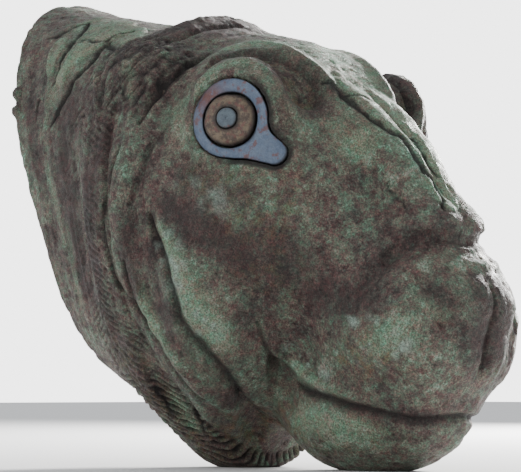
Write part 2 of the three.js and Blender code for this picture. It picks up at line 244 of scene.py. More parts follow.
@dataclass(frozen=True)
class HeadForm:
    """The head as a signed distance, which is the same on both sides."""

    wall: float = 5.5
    mid_height: float = 150.0
    ruff_station: float = -40.0
    ruff_half_width: float = 105.5
    ruff_half_height: float = 148.0
    ruff_middle: float = 144.0
    ruff_lean: float = 0.157
    ruff_forward: float = 26.0
    ruff_taper: float = 0.2
    neck_half_width: float = 94.0
    neck_half_height: float = 129.0
    muzzle_length: float = 198.0
    carvings: tuple = (
        Carving("hollow under the brow",
                ((36, 82, 247, 3), (46, 70, 256, 7), (62, 52, 258, 9), (84, 42, 246, 12),
                 (94, 42, 229, 14)), 5),
        Carving("hollow of the ear", ((-26, 98, 252, 8), (-22, 98, 236, 6)), 6),
        Carving("front edge of the ear",
                ((8, 68, 257, 3), (0, 84, 236, 3.5), (-12, 93, 216, 3.5)), 3),
        Carving("nostril",
                ((138, 56, 112, 5), (150, 44, 124, 5), (164, 33, 132, 5), (182, 19, 132, 3)), 7),
        Carving("corner of the mouth",
                ((74, 78, 88, 3), (70, 71, 72, 4), (78, 62, 54, 9), (88, 58, 40, 8)), 7),
        Carving("line of the mouth",
                ((78, 56, 58, 4), (112, 54, 44, 4), (146, 44, 36, 3), (172, 24, 31, 3),
                 (182, 0, 31, 3)), 5),
        Carving("dip beside the nose pad",
                ((172, 50, 120, 8), (186, 46, 100, 9), (196, 34, 82, 7)), 10),
        Carving("slit of the upper lip",
                ((203, 0, 112, 2), (201, 0, 92, 2.5), (194, 0, 74, 2.5), (188, 0, 58, 2)), 6),
    )

    def station(self, points: np.ndarray) -> np.ndarray:
        """Place along the head, in planes that lean back at the top, more so at the neck.

        Args:
            points: Places to measure.

        Returns:
            x plus the height over the middle times the lean.
        """
        x, z = points[:, 0], points[:, 2]
        lean = self.ruff_lean + 0.2 * np.clip((self.ruff_station - 5.0 - x) / 95.0, 0.0, 1.2)
        return x + lean * (z - self.mid_height)

    def ruff_place(self, points: np.ndarray) -> np.ndarray:
        """Place along the head as the ruff has it, whose top comes forward."""
        return self.station(points) - self.ruff_forward * smooth_step(215.0, 285.0, points[:, 2])

    def oval(self, points: np.ndarray, middle: np.ndarray, half_width: np.ndarray,
             half_height: np.ndarray, taper: float, power: float) -> np.ndarray:
        """Distance to an oval section, (|y/w|^p + |z/h|^p)^(1/p) - 1 times half its width.

        Args:
            points: Places to measure.
            middle: Height of its middle.
            half_width: Half its width.
            half_height: Half its height.
            taper: How much narrower it is at the bottom.
            power: 2 for an ellipse, more for a squarer oval.

        Returns:
            The distance, near enough by the surface.
        """
        height = (points[:, 2] - middle) / half_height
        width = half_width * (1.0 - taper * np.clip(-height, 0.0, 1.3))
        ring = (np.abs(points[:, 1] / width) ** power + np.abs(height) ** power) ** (1.0 / power)
        return (ring - 1.0) * half_width

    def neck_sleeve(self, points: np.ndarray) -> np.ndarray:
        """Distance to the sleeve behind the ruff, which narrows and rises to its rim.

        Args:
            points: Places to measure.

        Returns:
            The distance to an oval whose size follows its share of the way back, cut at the ruff.
        """
        station = self.station(points)
        back = np.clip((self.ruff_station - station) / 96.0, -0.5, 1.2)
        rounder = 0.8 * np.clip(back, 0.0, 1.0) * smooth_step(190.0, 250.0, points[:, 2])
        sleeve = self.oval(points, self.mid_height + 36.0 * back,
                           self.neck_half_width - 18.0 * back,
                           self.neck_half_height - 4.0 * back, 0.0, 2.9 - rounder)
        return soft_cut(sleeve, self.ruff_place(points) - (self.ruff_station + 10.0), 8.0)

    def fold_edges(self, points: np.ndarray) -> tuple[np.ndarray, np.ndarray]:
        """Find where the ruff and the smooth band before it end, at each point's height.

        Args:
            points: Places to measure.

        Returns:
            Stations of the front of the ruff and of the front of the band.
        """
        z = points[:, 2]
        low = smooth_step(110.0, 40.0, z)
        ruff_edge = -24.0 + 14.0 * low
        high = smooth_step(165.0, 205.0, z) * smooth_step(275.0, 240.0, z)
        band_edge = 14.0 * high + 24.0 * low - 34.0 * smooth_step(50.0, 10.0, z)
        return ruff_edge, band_edge

    def ring(self, points: np.ndarray) -> np.ndarray:
        """Distance to the oval sleeve that the ruff and the band are cut from.

        Args:
            points: Places to measure.

        Returns:
            The distance, to an oval that is lower toward the front at its top.
        """
        forward = np.maximum(self.ruff_place(points) - self.ruff_station, 0.0)
        upper = smooth_step(150.0, 280.0, points[:, 2])
        lower = smooth_step(110.0, 40.0, points[:, 2])
        drop = (6.0 + 0.5 * forward) * upper + 0.8 * lower
        return self.oval(points, self.ruff_middle, self.ruff_half_width,
                         self.ruff_half_height - drop, self.ruff_taper, 2.08 - 0.13 * lower)

    def ruff_and_band(self, points: np.ndarray) -> np.ndarray:
        """Distance to the two folds that ring the face, with a groove in front of each.

        Args:
            points: Places to measure.

        Returns:
            The cut sleeve's distance, with a bell-shaped groove at each edge and a crest between.
        """
        station = self.ruff_place(points)
        ruff_edge, band_edge = self.fold_edges(points)
        ruff_back = self.ruff_station - 16.0
        band = np.abs(station - (band_edge + ruff_back) / 2.0) - (band_edge - ruff_back) / 2.0
        grooves = 3.4 * np.exp(-((station - ruff_edge) / 2.2) ** 2)
        grooves += 2.4 * np.exp(-((station - band_edge) / 2.8) ** 2)
        crest = 1.5 * np.exp(-((station - (ruff_edge + band_edge) / 2.0) / 7.0) ** 2)
        return soft_cut(self.ring(points), band, 18.0) + grooves - crest

    def skull_and_cheeks(self, points: np.ndarray) -> np.ndarray:
        """Distance to the skull, the face that narrows forward, the cheeks and the throat.

        Args:
            points: Places to measure, turned to the left side.

        Returns:
            The joined distance.
        """
        form = ellipsoid(points, (-6, 0, 163), (121, 95, 107.5))
        form = soft_join(form, tapered_rod(points, (5, 0, 140, 85), (138, 0, 112, 42)), 40.0)
        form = soft_join(form, ellipsoid(points, (14, 42, 112), (64, 52, 78)), 22.0)
        form = soft_join(form, ellipsoid(points, (24, 56, 100), (24, 40, 60)), 12.0)
        return soft_join(form, ellipsoid(points, (-12, 0, 62), (46, 58, 62)), 25.0)

    def muzzle_and_jaw(self, form: np.ndarray, points: np.ndarray) -> np.ndarray:
        """Join the muzzle, its whisker pads, lip and nose pad, and the lower jaw to the form.

        Args:
            form: Distance of the form so far.
            points: Places to measure, turned to the left side.

        Returns:
            The joined distance, with the notch between jaw and throat cut out.
        """
        muzzle = ellipsoid(points, (132, 9, 82), (58, 44, 44))
        muzzle = soft_join(muzzle, ellipsoid(points, (146, 22, 74), (36, 29, 32)), 12.0)
        muzzle = soft_join(muzzle, ellipsoid(points, (148, 6, 70), (43, 35, 31)), 8.0)
        nose_pad = ellipsoid(points, (157, 5, 96), (self.muzzle_length - 157, 38, 23))
        muzzle = soft_join(muzzle, nose_pad, 12.0)
        form = soft_join(form, muzzle, 22.0)
        form = soft_join(form, ellipsoid(points, (101, 0, 41), (72, 44, 44)), 16.0)
        notch = rod_chain(points, ((30, 75, 30, 8), (42, 40, 8, 11), (46, 0, -2, 16)))
        return soft_cut(form, -notch, 12.0)

    def nose_and_brow(self, form: np.ndarray, points: np.ndarray) -> np.ndarray:
        """Join the bridge, the nose, the brow and the swelling round the eye to the form.

        Args:
            form: Distance of the form so far.
            points: Places to measure, turned to the left side.

        Returns:
            The joined distance.
        """
        bridge = rod_chain(points, ((62, 16, 227, 13), (98, 10, 206, 15.5), (128, 9, 179, 15),
                                    (152, 9, 150, 12)))
        bridge = soft_join(bridge, ellipsoid(points, (153, 6, 141), (24, 22, 16)), 9.0)
        form = soft_join(form, bridge, 9.0)
        form = soft_join(form, ellipsoid(points, (48, 42, 226), (38, 36, 24), -14.0), 18.0)
        return soft_join(form, ellipsoid(points, (44, 54, 206), (34, 31, 34)), 14.0)

    def skin(self, points: np.ndarray) -> np.ndarray:
        """Distance to the outer skin, without the sockets.

        Args:
            points: Places to measure, one a row.

        Returns:
            The signed distance of each.
        """
        points = turned_left(points)
        form = self.skull_and_cheeks(points)
        form = soft_join(form, self.ruff_and_band(points), 7.0)
        form = self.muzzle_and_jaw(form, points)
        form = self.nose_and_brow(form, points)
        form = soft_join(form, ellipsoid(points, (-32, 66, 236), (36, 24, 28)), 12.0)
        form = soft_join(form, self.neck_sleeve(points), 9.0)
        for carving in self.carvings:
            form = soft_cut(form, -rod_chain(points, carving.stops), carving.blend)
        return soft_cut(form, -points[:, 2], 1.0)


# ---- the eyes' own planes ----

@dataclass(frozen=True)
class EyePlane:
    """The plane of one eye, with x toward the nose, y up and z out of the head, in millimetres."""

    side: Side
    centre: tuple = (59.5, 78.0, 208.0)
    normal: tuple = (0.5, 0.86, 0.1)
    socket_depth: float = 7.5
    iris_back: float = 2.0

    def axes(self) -> np.ndarray:
        """Work out the plane's three axes.

        Returns:
            The ways toward the nose, up and out, one a row.
        """
        out = np.array(self.normal) * (1.0, self.side.value, 1.0)
        out /= np.linalg.norm(out)
        across = np.cross(UP, out) * -self.side.value
        across /= np.linalg.norm(across)
        up = np.cross(out, across) * -self.side.value
        return np.array([across, up, out])

    def to_plane(self, points: np.ndarray) -> np.ndarray:
        """Give points of the head in the eye's own plane."""
        return (points - np.array(self.centre) * (1.0, self.side.value, 1.0)) @ self.axes().T

    def to_head(self, local: np.ndarray) -> np.ndarray:
        """Give points of the eye's plane in the head's place."""
        return local @ self.axes() + np.array(self.centre) * (1.0, self.side.value, 1.0)

    def teardrop(self, across: np.ndarray, up: np.ndarray) -> np.ndarray:
        """Flat distance to the inlay's outline: a disc with a tapering lobe at its inner corner.

        Args:
            across: Place toward the nose.
            up: Place up.

        Returns:
            The distance, negative inside the outline.
        """
        flat = np.stack([across, up, np.zeros_like(across)], axis=1)
        disc = np.hypot(across + 3.0, up - 1.6) - 25.2
        return soft_join(disc, tapered_rod(flat, (8, -11, 0, 13.5), (25.5, -20, 0, 8.4)), 6.0)

    def inner_gap(self, points: np.ndarray, thickness: float) -> tuple[np.ndarray, ...]:
        """Measure the skin round the inlay, and how far it lies on the inlay's inner side.

        Args:
            points: Places of the head.
            thickness: How fast the plane's hold fades above and below it.

        Returns:
            Distance to the outline, the inner side's share and the plane's hold, from 0 to 1.
        """
        across, up, height = self.to_plane(points).T
        near = np.exp(-(height / thickness) ** 2)
        return self.teardrop(across, up), smooth_step(-6.0, 10.0, across - 0.3 * up), near

    def outline(self, angles: np.ndarray, grow: float) -> np.ndarray:
        """Find the outline's radius at each angle, by halving.

        Args:
            angles: Turns from the way toward the nose.
            grow: How far outside the outline, or inside it where negative.

        Returns:
            The radii.
        """
        near, far = np.zeros_like(angles), np.full_like(angles, 60.0)
        for _ in range(24):
            middle = (near + far) / 2.0
            outside = self.teardrop(middle * np.cos(angles), middle * np.sin(angles)) > grow
            near, far = np.where(outside, near, middle), np.where(outside, middle, far)
        return near


# ---- relief: what time, the mould and the chisel left on the skin, with its colours, painted shade and painted highlight ----

@dataclass(frozen=True)
class Trail:
    """A line on the skin through (x, y, z, half width) stops, and the height that follows it."""

    name: str
    stops: tuple
    height: float
    one_side: bool = False


class SkinTracer:
    """Lays trails on the skin and measures how far each point of the skin is from them."""

    def __init__(self, points: np.ndarray) -> None:
        """Keep the skin's points, and the same points all turned to the left side."""
        self.points = points
        self.turned = turned_left(points)

    def lay(self, trail: Trail, skin: np.ndarray) -> np.ndarray:
        """Draw a trail finely and drop each of its points to the nearest point of the skin.

        Args:
            trail: The trail.
            skin: Points of the skin.

        Returns:
            The fine line's (x, y, z, half width) points, evened out by a running mean.
        """
        stops = np.array(trail.stops, float)
        legs = np.linalg.norm(np.diff(stops[:, :3], axis=0), axis=1)
        length = np.concatenate([[0.0], np.cumsum(legs)])
        steps = np.linspace(0.0, length[-1], max(int(length[-1] / 2.5), 2) + 1)
        line = np.stack([np.interp(steps, length, column) for column in stops.T], axis=1)
        low, high = line[:, :3].min(axis=0) - 25.0, line[:, :3].max(axis=0) + 25.0
        near = skin[np.all((skin > low) & (skin < high), axis=1)][::4]
        gaps = ((line[:, None, :3] - near[None]) ** 2).sum(axis=2)
        line[:, :3] = near[gaps.argmin(axis=1)]
        line[1:-1, :3] = 0.25 * line[:-2, :3] + 0.5 * line[1:-1, :3] + 0.25 * line[2:, :3]
        return line

    def gap(self, trail: Trail, wander: np.ndarray | None = None) -> np.ndarray:
        """Distance to a trail in half widths.

        Args:
            trail: The trail.
            wander: Shifts of the points, which make a straight line wander.

        Returns:
            The distance of each point, or a large number where it is far away.
        """
        skin = self.points if trail.one_side else self.turned
        line = self.lay(trail, skin)
        margin = 3.2 * line[:, 3].max() + 3.0
        low, high = line[:, :3].min(axis=0) - margin, line[:, :3].max(axis=0) + margin
        chosen = np.flatnonzero(np.all((skin > low) & (skin < high), axis=1))
        place = skin[chosen] if wander is None else skin[chosen] + wander[chosen]
        least = np.full(len(chosen), FAR_GAP)
        for start, end in zip(line[:-1], line[1:]):
            way = end[:3] - start[:3]
            share = np.clip((place - start[:3]) @ way / max(way @ way, 1e-9), 0.0, 1.0)
            reach = np.linalg.norm(place - start[:3] - share[:, None] * way, axis=1)
            least = np.minimum(least, reach / (start[3] + (end[3] - start[3]) * share))
        gaps = np.full(len(skin), FAR_GAP)
        gaps[chosen] = least
        return gaps


RIDGES = (
    Trail("edge of the lip",
          ((70, 53, 70, 1.6), (72, 46, 64, 2.6), (80, 42, 58, 3.0), (98, 44, 51, 3.2),
           (116, 46, 46, 2.8), (134, 44, 41, 2.0)), 2.4),
    Trail("fold beside the nose pad",
          ((173, 43, 92, 2.0), (179, 38, 88, 2.6), (184, 31, 79, 2.2)), 1.6),
    Trail("upper edge of the muzzle",
          ((176, 26, 123, 3.0), (182, 20, 120, 3.0), (186, 0, 121, 3.0)), 1.4),
    Trail("fold of the cheek",
          ((14, 101, 158, 2.5), (26, 99, 136, 5.0), (34, 96, 122, 7.5), (40, 92, 104, 9.0),
           (45, 86, 88, 9.0), (54, 78, 74, 8.0)), 1.8),
    Trail("narrow fold behind the cheek",
          ((0, 101, 112, 2.0), (2, 99, 96, 3.2), (7, 96, 86, 3.5), (17, 94, 76, 2.6),
           (26, 84, 58, 2.0)), 2.4),
    Trail("upper lid",
          ((38, 88, 214, 2.5), (34, 81, 229, 3.2), (38, 76, 238, 3.6), (48, 72, 242, 3.8),
           (59, 66, 243, 3.8), (70, 63, 238, 3.6), (78, 62, 230, 3.4), (83, 59, 219, 3.4),
           (87, 54, 210, 3.2), (91, 50, 198, 2.4)), 2.6),
    Trail("edge of the brow",
          ((30, 72, 244, 3.0), (24, 50, 256, 4.5), (36, 34, 261, 5.0), (52, 30, 258, 5.0),
           (70, 27, 247, 5.0), (84, 24, 236, 4.5), (92, 25, 226, 3.0)), 2.2),
    Trail("back edge of the ruff",
          ((-62, 74, 262, 2.2), (-59, 85, 253, 2.6), (-57, 89, 240, 2.6), (-52, 91, 227, 2.6),
           (-46, 95, 214, 2.0)), 1.8),
)

HOLLOWS = (
    Trail("hollow under the brow",
          ((30, 71, 244, 2.6), (36, 65, 248, 4.5), (45, 56, 252, 6.5), (57, 48, 251, 9.0),
           (69, 43, 243, 11.5), (78, 42, 234, 13.0), (83, 42, 226, 12.5)), 8.5),
    Trail("nostril",
          ((149, 40, 124, 5.0), (158, 29, 136, 5.0), (167, 22, 137, 4.5), (175, 13, 136, 4.0),
           (178, 0, 134, 3.5)), 2.6),
    Trail("wing of the nostril",
          ((138, 52, 106, 5.0), (143, 48, 112, 6.0), (147, 42, 119, 6.0)), 1.2),
    Trail("dip beside the nose pad",
          ((175, 35, 113, 6.0), (184, 32, 105, 8.0), (188, 29, 97, 7.5), (184, 31, 88, 4.0)), 2.4),
    Trail("corner of the mouth", ((68, 52, 62, 4.0), (66, 44, 54, 8.0), (69, 40, 42, 8.0)), 3.4),
    Trail("valley of the muzzle",
          ((191, 25, 91, 5.0), (188, 23, 74, 7.0), (183, 20, 59, 6.0)), 1.2),
    Trail("hollow behind the jaw", ((38, 52, 42, 4.0), (29, 34, 30, 8.0), (22, 24, 18, 8.0)), 4.5),
)

GROOVES = (
    Trail("line up from the mouth",
          ((70, 68, 88, 0.8), (71, 66, 84, 1.1), (69, 61, 76, 1.4), (67, 53, 66, 1.8),
           (66, 46, 58, 2.0)), 2.0),
    Trail("line before the ruff",
          ((-18, 100, 196, 1.4), (-22, 103, 184, 1.6), (-26, 104, 165, 1.7), (-27, 105, 151, 1.8),
           (-26, 105, 139, 1.8), (-24, 104, 126, 1.7), (-19, 99, 110, 1.5), (-6, 99, 97, 1.3),
           (1, 97, 87, 1.0)), 3.0),
    Trail("line before the band",
          ((10, 88, 207, 1.0), (6, 91, 200, 1.4), (2, 94, 191, 1.6), (0, 97, 180, 1.6),
           (-3, 99, 173, 1.4), (-6, 102, 160, 1.0)), 1.6),
    Trail("line under the cheek fold",
          ((8, 101, 153, 1.4), (16, 100, 137, 2.2), (23, 99, 125, 2.6), (29, 98, 106, 2.8),
           (32, 95, 88, 2.8), (40, 87, 76, 2.8), (44, 79, 66, 2.8), (46, 71, 59, 2.6),
           (44, 59, 47, 2.6), (36, 44, 37, 2.4), (29, 32, 30, 2.0)), 3.4),
    Trail("line behind the narrow fold",
          ((-10, 103, 124, 1.2), (-8, 101, 104, 1.8), (-3, 98, 90, 2.2), (6, 92, 74, 2.2),
           (16, 82, 58, 2.0), (24, 68, 44, 1.6)), 2.6),
    Trail("front edge of the ear",
          ((8, 50, 257, 1.2), (6, 63, 249, 2.0), (5, 71, 243, 2.5), (1, 77, 236, 2.6),
           (-3, 82, 228, 2.6), (-7, 87, 219, 2.2), (-8, 94, 211, 1.3)), 5.5),
    Trail("crease behind the jaw",
          ((44, 58, 46, 1.4), (36, 44, 37, 1.6), (30, 30, 29, 1.6), (33, 18, 24, 1.2)), 2.2),
    Trail("line of the mouth",
          ((74, 40, 52, 1.6), (86, 42, 48, 1.8), (99, 44, 45, 1.8), (116, 43, 41, 1.8),
           (136, 39, 36, 2.0), (150, 33, 32, 2.4), (159, 26, 30, 2.6), (167, 18, 30, 2.6),
           (172, 9, 31, 2.6), (174, 0, 31, 2.4)), 3.4),
    Trail("slit of the lip",
          ((197, 0, 108, 1.0), (199, 0, 96, 1.3), (195, 0, 81, 1.4), (190, 0, 68, 1.3),
           (186, 0, 60, 1.0)), 1.8),
    Trail("crease of the chin", ((146, 29, 17, 1.6), (160, 19, 19, 1.6)), 1.2),
)

CRACKS = (
    Trail("crack along the bridge",
          ((86, -28, 233, 1.0), (89, -23, 230, 1.7), (97, -21, 221, 1.9), (104, -20, 217, 1.7),
           (113, -18, 210, 1.7), (123, -15, 203, 1.5), (129, -8, 197, 1.6), (138, -10, 190, 1.6),
           (147, -9, 178, 1.9), (152, -3, 169, 1.6), (160, -5, 160, 1.5),
           (168, -11, 153, 1.0)), 2.4, True),
    Trail("second crack of the bridge",
          ((128, -3, 198, 1.0), (130, 2, 196, 1.3), (136, 2, 190, 1.3), (142, 2, 183, 1.3),
           (147, 1, 178, 1.2), (150, 3, 173, 0.9)), 1.4, True),
    Trail("branch of the bridge crack",
          ((95, -19, 223, 0.9), (101, -8, 221, 1.0), (107, 0, 213, 1.0),
           (113, 5, 206, 0.8)), 1.0, True),
    Trail("crease over the nose pad",
          ((133, -19, 170, 0.7), (140, -20, 161, 1.1), (148, -21, 154, 0.8)), 1.4, True),
    Trail("front crack of the neck",
          ((-77, -62, 270, 1.4), (-80, -67, 265, 2.0), (-78, -73, 259, 1.8), (-82, -77, 252, 1.6),
           (-90, -80, 244, 1.5), (-92, -83, 234, 1.8), (-100, -85, 224, 2.2),
           (-104, -85, 216, 1.4)), 3.6, True),
    Trail("crack behind the ear",
          ((-78, -63, 269, 1.6), (-70, -66, 268, 1.8), (-58, -74, 264, 1.6),
           (-46, -80, 262, 1.0)), 2.6, True),
    Trail("long crack of the neck",
          ((-124, -39, 288, 1.0), (-120, -43, 286, 1.6), (-113, -56, 278, 1.7),
           (-114, -66, 270, 1.6), (-114, -71, 263, 1.3), (-113, -76, 254, 1.2),
           (-113, -79, 245, 0.9)), 3.0, True),
    Trail("crack near the rim",
          ((-140, -60, 278, 1.0), (-134, -57, 281, 1.4), (-130, -48, 286, 1.2),
           (-124, -39, 288, 1.0)), 2.0, True),
    Trail("cross crack of the neck",
          ((-106, -59, 274, 0.9), (-93, -61, 271, 1.1), (-80, -60, 270, 1.1), (-81, -53, 276, 1.0),
           (-72, -46, 279, 0.9)), 1.8, True),
    Trail("short crack low on the neck", ((-126, -80, 236, 1.0), (-125, -82, 226, 1.0)), 1.8, True),
    Trail("edge of the ladder", ((-15, 77, 51, 0.8), (-12, 69, 41, 1.2), (-11, 59, 28, 1.0)), 1.5),
    Trail("front edge of the ladder",
          ((9, 76, 52, 0.8), (10, 70, 43, 1.3), (7, 61, 36, 1.4), (4, 56, 28, 1.2),
           (2, 50, 22, 1.0)), 2.2),
)

PLATES = (
    Trail("flake along the bridge",
          ((92, -6, 238, 10.0), (112, -2, 216, 11.0), (134, 0, 192, 9.0), (152, -1, 170, 8.0),
           (166, -2, 156, 7.0)), 1.0, True),
    Trail("front flake of the neck",
          ((-84, -52, 276, 8.0), (-96, -68, 266, 9.0), (-104, -76, 250, 8.0)), 1.3, True),
    Trail("back flake of the neck", ((-124, -60, 272, 6.0), (-124, -72, 256, 7.0)), 1.0, True),
    Trail("flake on top of the neck", ((-96, -40, 284, 11.0), (-70, -44, 280, 9.0)), 1.0, True),
    Trail("flake behind the ear", ((-62, -56, 274, 7.0), (-52, -66, 270, 6.0)), 1.2, True),
)

PALE_PATCHES = (
    Trail("cheek fold",
          ((17, 100, 148, 3.0), (28, 98, 130, 6.0), (36, 96, 110, 9.0), (45, 90, 92, 11.0),
           (54, 81, 76, 8.0)), 1.0),
    Trail("narrow fold",
          ((0, 101, 110, 3.0), (4, 98, 92, 5.0), (12, 94, 80, 4.5), (20, 88, 66, 4.0)), 1.0),
    Trail("upper lid",
          ((36, 84, 226, 5.0), (46, 74, 242, 5.0), (60, 66, 243, 5.0), (76, 62, 232, 5.0),
           (86, 56, 214, 5.0), (92, 50, 200, 6.0)), 0.45),
    Trail("brow",
          ((26, 52, 256, 6.0), (44, 30, 261, 10.0), (70, 24, 250, 11.0), (92, 14, 240, 12.0),
           (112, 6, 218, 13.0), (136, 3, 192, 11.0), (160, 0, 164, 10.0)), 0.9),
    # Painted highlight: a pale strip along the forehead's top edge, where the top light grazes.
    Trail("crest of the forehead",
          ((56, 6, 264, 9.0), (74, 4, 256, 10.0), (92, 2, 244, 10.0), (108, 0, 228, 9.0)), 1.0),
    Trail("clump of the ear", ((-30, 88, 250, 5.0), (-22, 90, 240, 4.0), (-20, 92, 228, 3.0)), 0.7),
    Trail("front of the temple", ((14, 84, 216, 8.0), (26, 88, 200, 8.0)), 0.5),
    Trail("whisker pad", ((150, 50, 76, 9.0), (168, 45, 84, 9.0)), 0.7),
    Trail("edge of the lip",
          ((74, 46, 62, 3.0), (84, 42, 56, 4.5), (100, 44, 50, 4.0), (116, 46, 45, 3.0)), 1.0),
    Trail("jaw", ((80, 44, 32, 10.0), (104, 42, 30, 12.0), (126, 38, 24, 10.0)), 1.0),
    Trail("nose pad", ((184, 12, 118, 9.0), (190, 16, 100, 9.0)), 0.25),
    Trail("side of the bridge", ((104, 34, 206, 10.0), (118, 30, 190, 9.0)), 0.5),
    Trail("neck", ((-96, 66, 266, 14.0), (-106, 74, 250, 12.0), (-104, 80, 236, 9.0)), 0.6),
    Trail("top of the neck",
          ((-120, 40, 286, 14.0), (-80, 50, 275, 14.0), (-64, 50, 270, 10.0)), 0.9),
    Trail("low on the neck", ((-88, 85, 150, 3.0), (-82, 84, 129, 4.0), (-79, 80, 104, 3.0)), 0.8),
    Trail("ladder of the ruff",
          ((-4, 68, 44, 5.0), (-4, 64, 38, 7.0), (-5, 59, 32, 6.5), (-4, 53, 25, 5.0)), 1.0),
    Trail("second fold",
          ((28, 92, 84, 4.0), (34, 89, 72, 5.0), (38, 80, 61, 6.0), (41, 69, 50, 5.0)), 0.6),
    Trail("flecks below the eye",
          ((36, 92, 173, 5.0), (52, 87, 165, 5.0), (60, 82, 174, 5.0), (78, 71, 173, 5.0)), 0.25),
    Trail("beside the bridge crack", ((109, 28, 195, 6.0), (118, 23, 197, 6.0)), 0.6),
    Trail("front of the pad", ((176, 39, 99, 6.0), (184, 32, 94, 7.0)), 0.5),
    Trail("streak of the neck",
          ((-108, 84, 190, 2.5), (-98, 84, 164, 3.0), (-92, 84, 140, 2.5)), 0.6),
)

CHIPPED_PATCHES = (
    Trail("whisker pad", ((130, 54, 84, 9.0), (146, 53, 78, 12.0), (164, 47, 76, 9.0)), 1.0),
    Trail("edge of the lip", ((76, 48, 66, 6.0), (92, 44, 56, 6.0), (112, 46, 50, 6.0)), 0.8),
    Trail("folds of the cheek",
          ((20, 100, 140, 8.0), (34, 96, 112, 10.0), (46, 88, 88, 10.0)), 0.7),
    Trail("below the eye", ((34, 94, 170, 8.0), (58, 86, 160, 9.0)), 0.4),
)

WARM_PATCHES = (
    Trail("middle of the cheek", ((66, 82, 150, 18.0), (84, 74, 120, 22.0)), 0.6),
    Trail("whisker pad", ((124, 52, 64, 10.0), (148, 50, 68, 14.0), (162, 44, 70, 10.0)), 0.8),
    Trail("throat", ((-10, 40, 16, 22.0), (60, 30, 14, 22.0)), 0.9),
    Trail("low ruff", ((-34, 84, 66, 20.0), (-16, 66, 34, 18.0)), 0.8),
    Trail("cheek below the eye", ((96, 64, 168, 12.0), (90, 68, 150, 14.0)), 0.5),
    Trail("under the eye", ((40, 91, 172, 9.0), (64, 82, 172, 9.0)), 0.8),
    Trail("beside the bridge crack", ((109, 28, 195, 8.0), (118, 23, 197, 8.0)), 0.7),
    Trail("jaw", ((70, 40, 30, 16.0), (130, 34, 18, 16.0)), 0.5),
)

# Partly the metal's own dark red-brown, partly painted shade: in hollows and on faces the lamps
# light strongly (ruff top, neck side, lip front).
DARK_PATCHES = (
    Trail("hollow under the brow",
          ((30, 71, 244, 4.0), (36, 65, 248, 7.0), (45, 56, 252, 10.0), (57, 48, 251, 13.0),
           (69, 43, 243, 16.0), (78, 42, 234, 18.0), (84, 42, 225, 17.0)), 1.0),
    Trail("hollow of the nostril",
          ((134, 54, 106, 9.0), (147, 42, 120, 10.0), (158, 29, 136, 8.0), (168, 20, 138, 7.0),
           (177, 8, 135, 6.0)), 0.6),
    Trail("above the whisker pad",
          ((110, 58, 104, 12.0), (132, 52, 98, 11.0), (150, 50, 100, 8.0)), 0.7),
    Trail("dip beside the nose pad", ((180, 34, 108, 8.0), (187, 30, 97, 8.0)), 0.7),
    Trail("middle of the cheek",
          ((66, 82, 128, 14.0), (82, 72, 118, 16.0), (100, 60, 106, 12.0)), 0.5),
    Trail("upper cheek", ((24, 97, 158, 7.0), (47, 92, 142, 10.0), (72, 79, 129, 12.0)), 0.95),
    Trail("front of the cheek",
          ((81, 74, 141, 9.0), (94, 64, 130, 10.0), (110, 55, 123, 10.0)), 0.5),
    Trail("band", ((-6, 103, 150, 8.0), (-8, 104, 130, 8.0), (-2, 100, 108, 6.0)), 0.85),
    Trail("behind the cheek fold",
          ((10, 100, 130, 7.0), (18, 98, 106, 8.0), (26, 92, 84, 7.0), (36, 76, 62, 7.0),
           (38, 54, 42, 9.0)), 0.5),
    Trail("corner of the mouth", ((68, 56, 70, 4.0), (64, 46, 54, 8.0), (66, 40, 42, 9.0)), 0.15),
    Trail("under the lip",
          ((86, 42, 48, 5.0), (110, 44, 42, 5.0), (140, 38, 34, 5.0), (168, 18, 30, 5.0)), 0.6),
    Trail("ear", ((-20, 84, 236, 12.0), (-8, 84, 228, 8.0), (-34, 82, 246, 12.0)), 0.3),
    Trail("under the eye", ((34, 94, 176, 8.0), (48, 92, 172, 9.0), (72, 82, 164, 8.0)), 0.6),
    Trail("top of the ruff",
          ((-40, 60, 266, 10.0), (-26, 31, 276, 14.0), (-10, 27, 272, 12.0),
           (-24, 0, 284, 16.0)), 0.7),
    Trail("back of the neck",
          ((-134, 78, 230, 7.0), (-124, 81, 200, 7.0), (-114, 82, 172, 5.0)), 0.6),
    Trail("low ruff", ((-44, 96, 100, 14.0), (-34, 86, 70, 14.0), (-20, 72, 44, 12.0)), 0.65),
    Trail("side of the ruff",
          ((-36, 98, 200, 10.0), (-42, 102, 170, 12.0), (-46, 102, 130, 12.0)), 0.8),
    Trail("side of the neck",
          ((-84, 88, 226, 14.0), (-88, 90, 186, 14.0), (-78, 90, 150, 12.0),
           (-70, 88, 110, 10.0)), 0.95),
    Trail("low on the cheek", ((70, 76, 92, 12.0), (62, 74, 78, 9.0)), 0.4),
    Trail("back corner of the cheek", ((34, 98, 150, 12.0), (56, 90, 150, 10.0)), 0.35),
    Trail("front of the lip", ((194, 8, 112, 9.0), (198, 8, 96, 12.0), (192, 8, 74, 12.0)), 0.85),
)


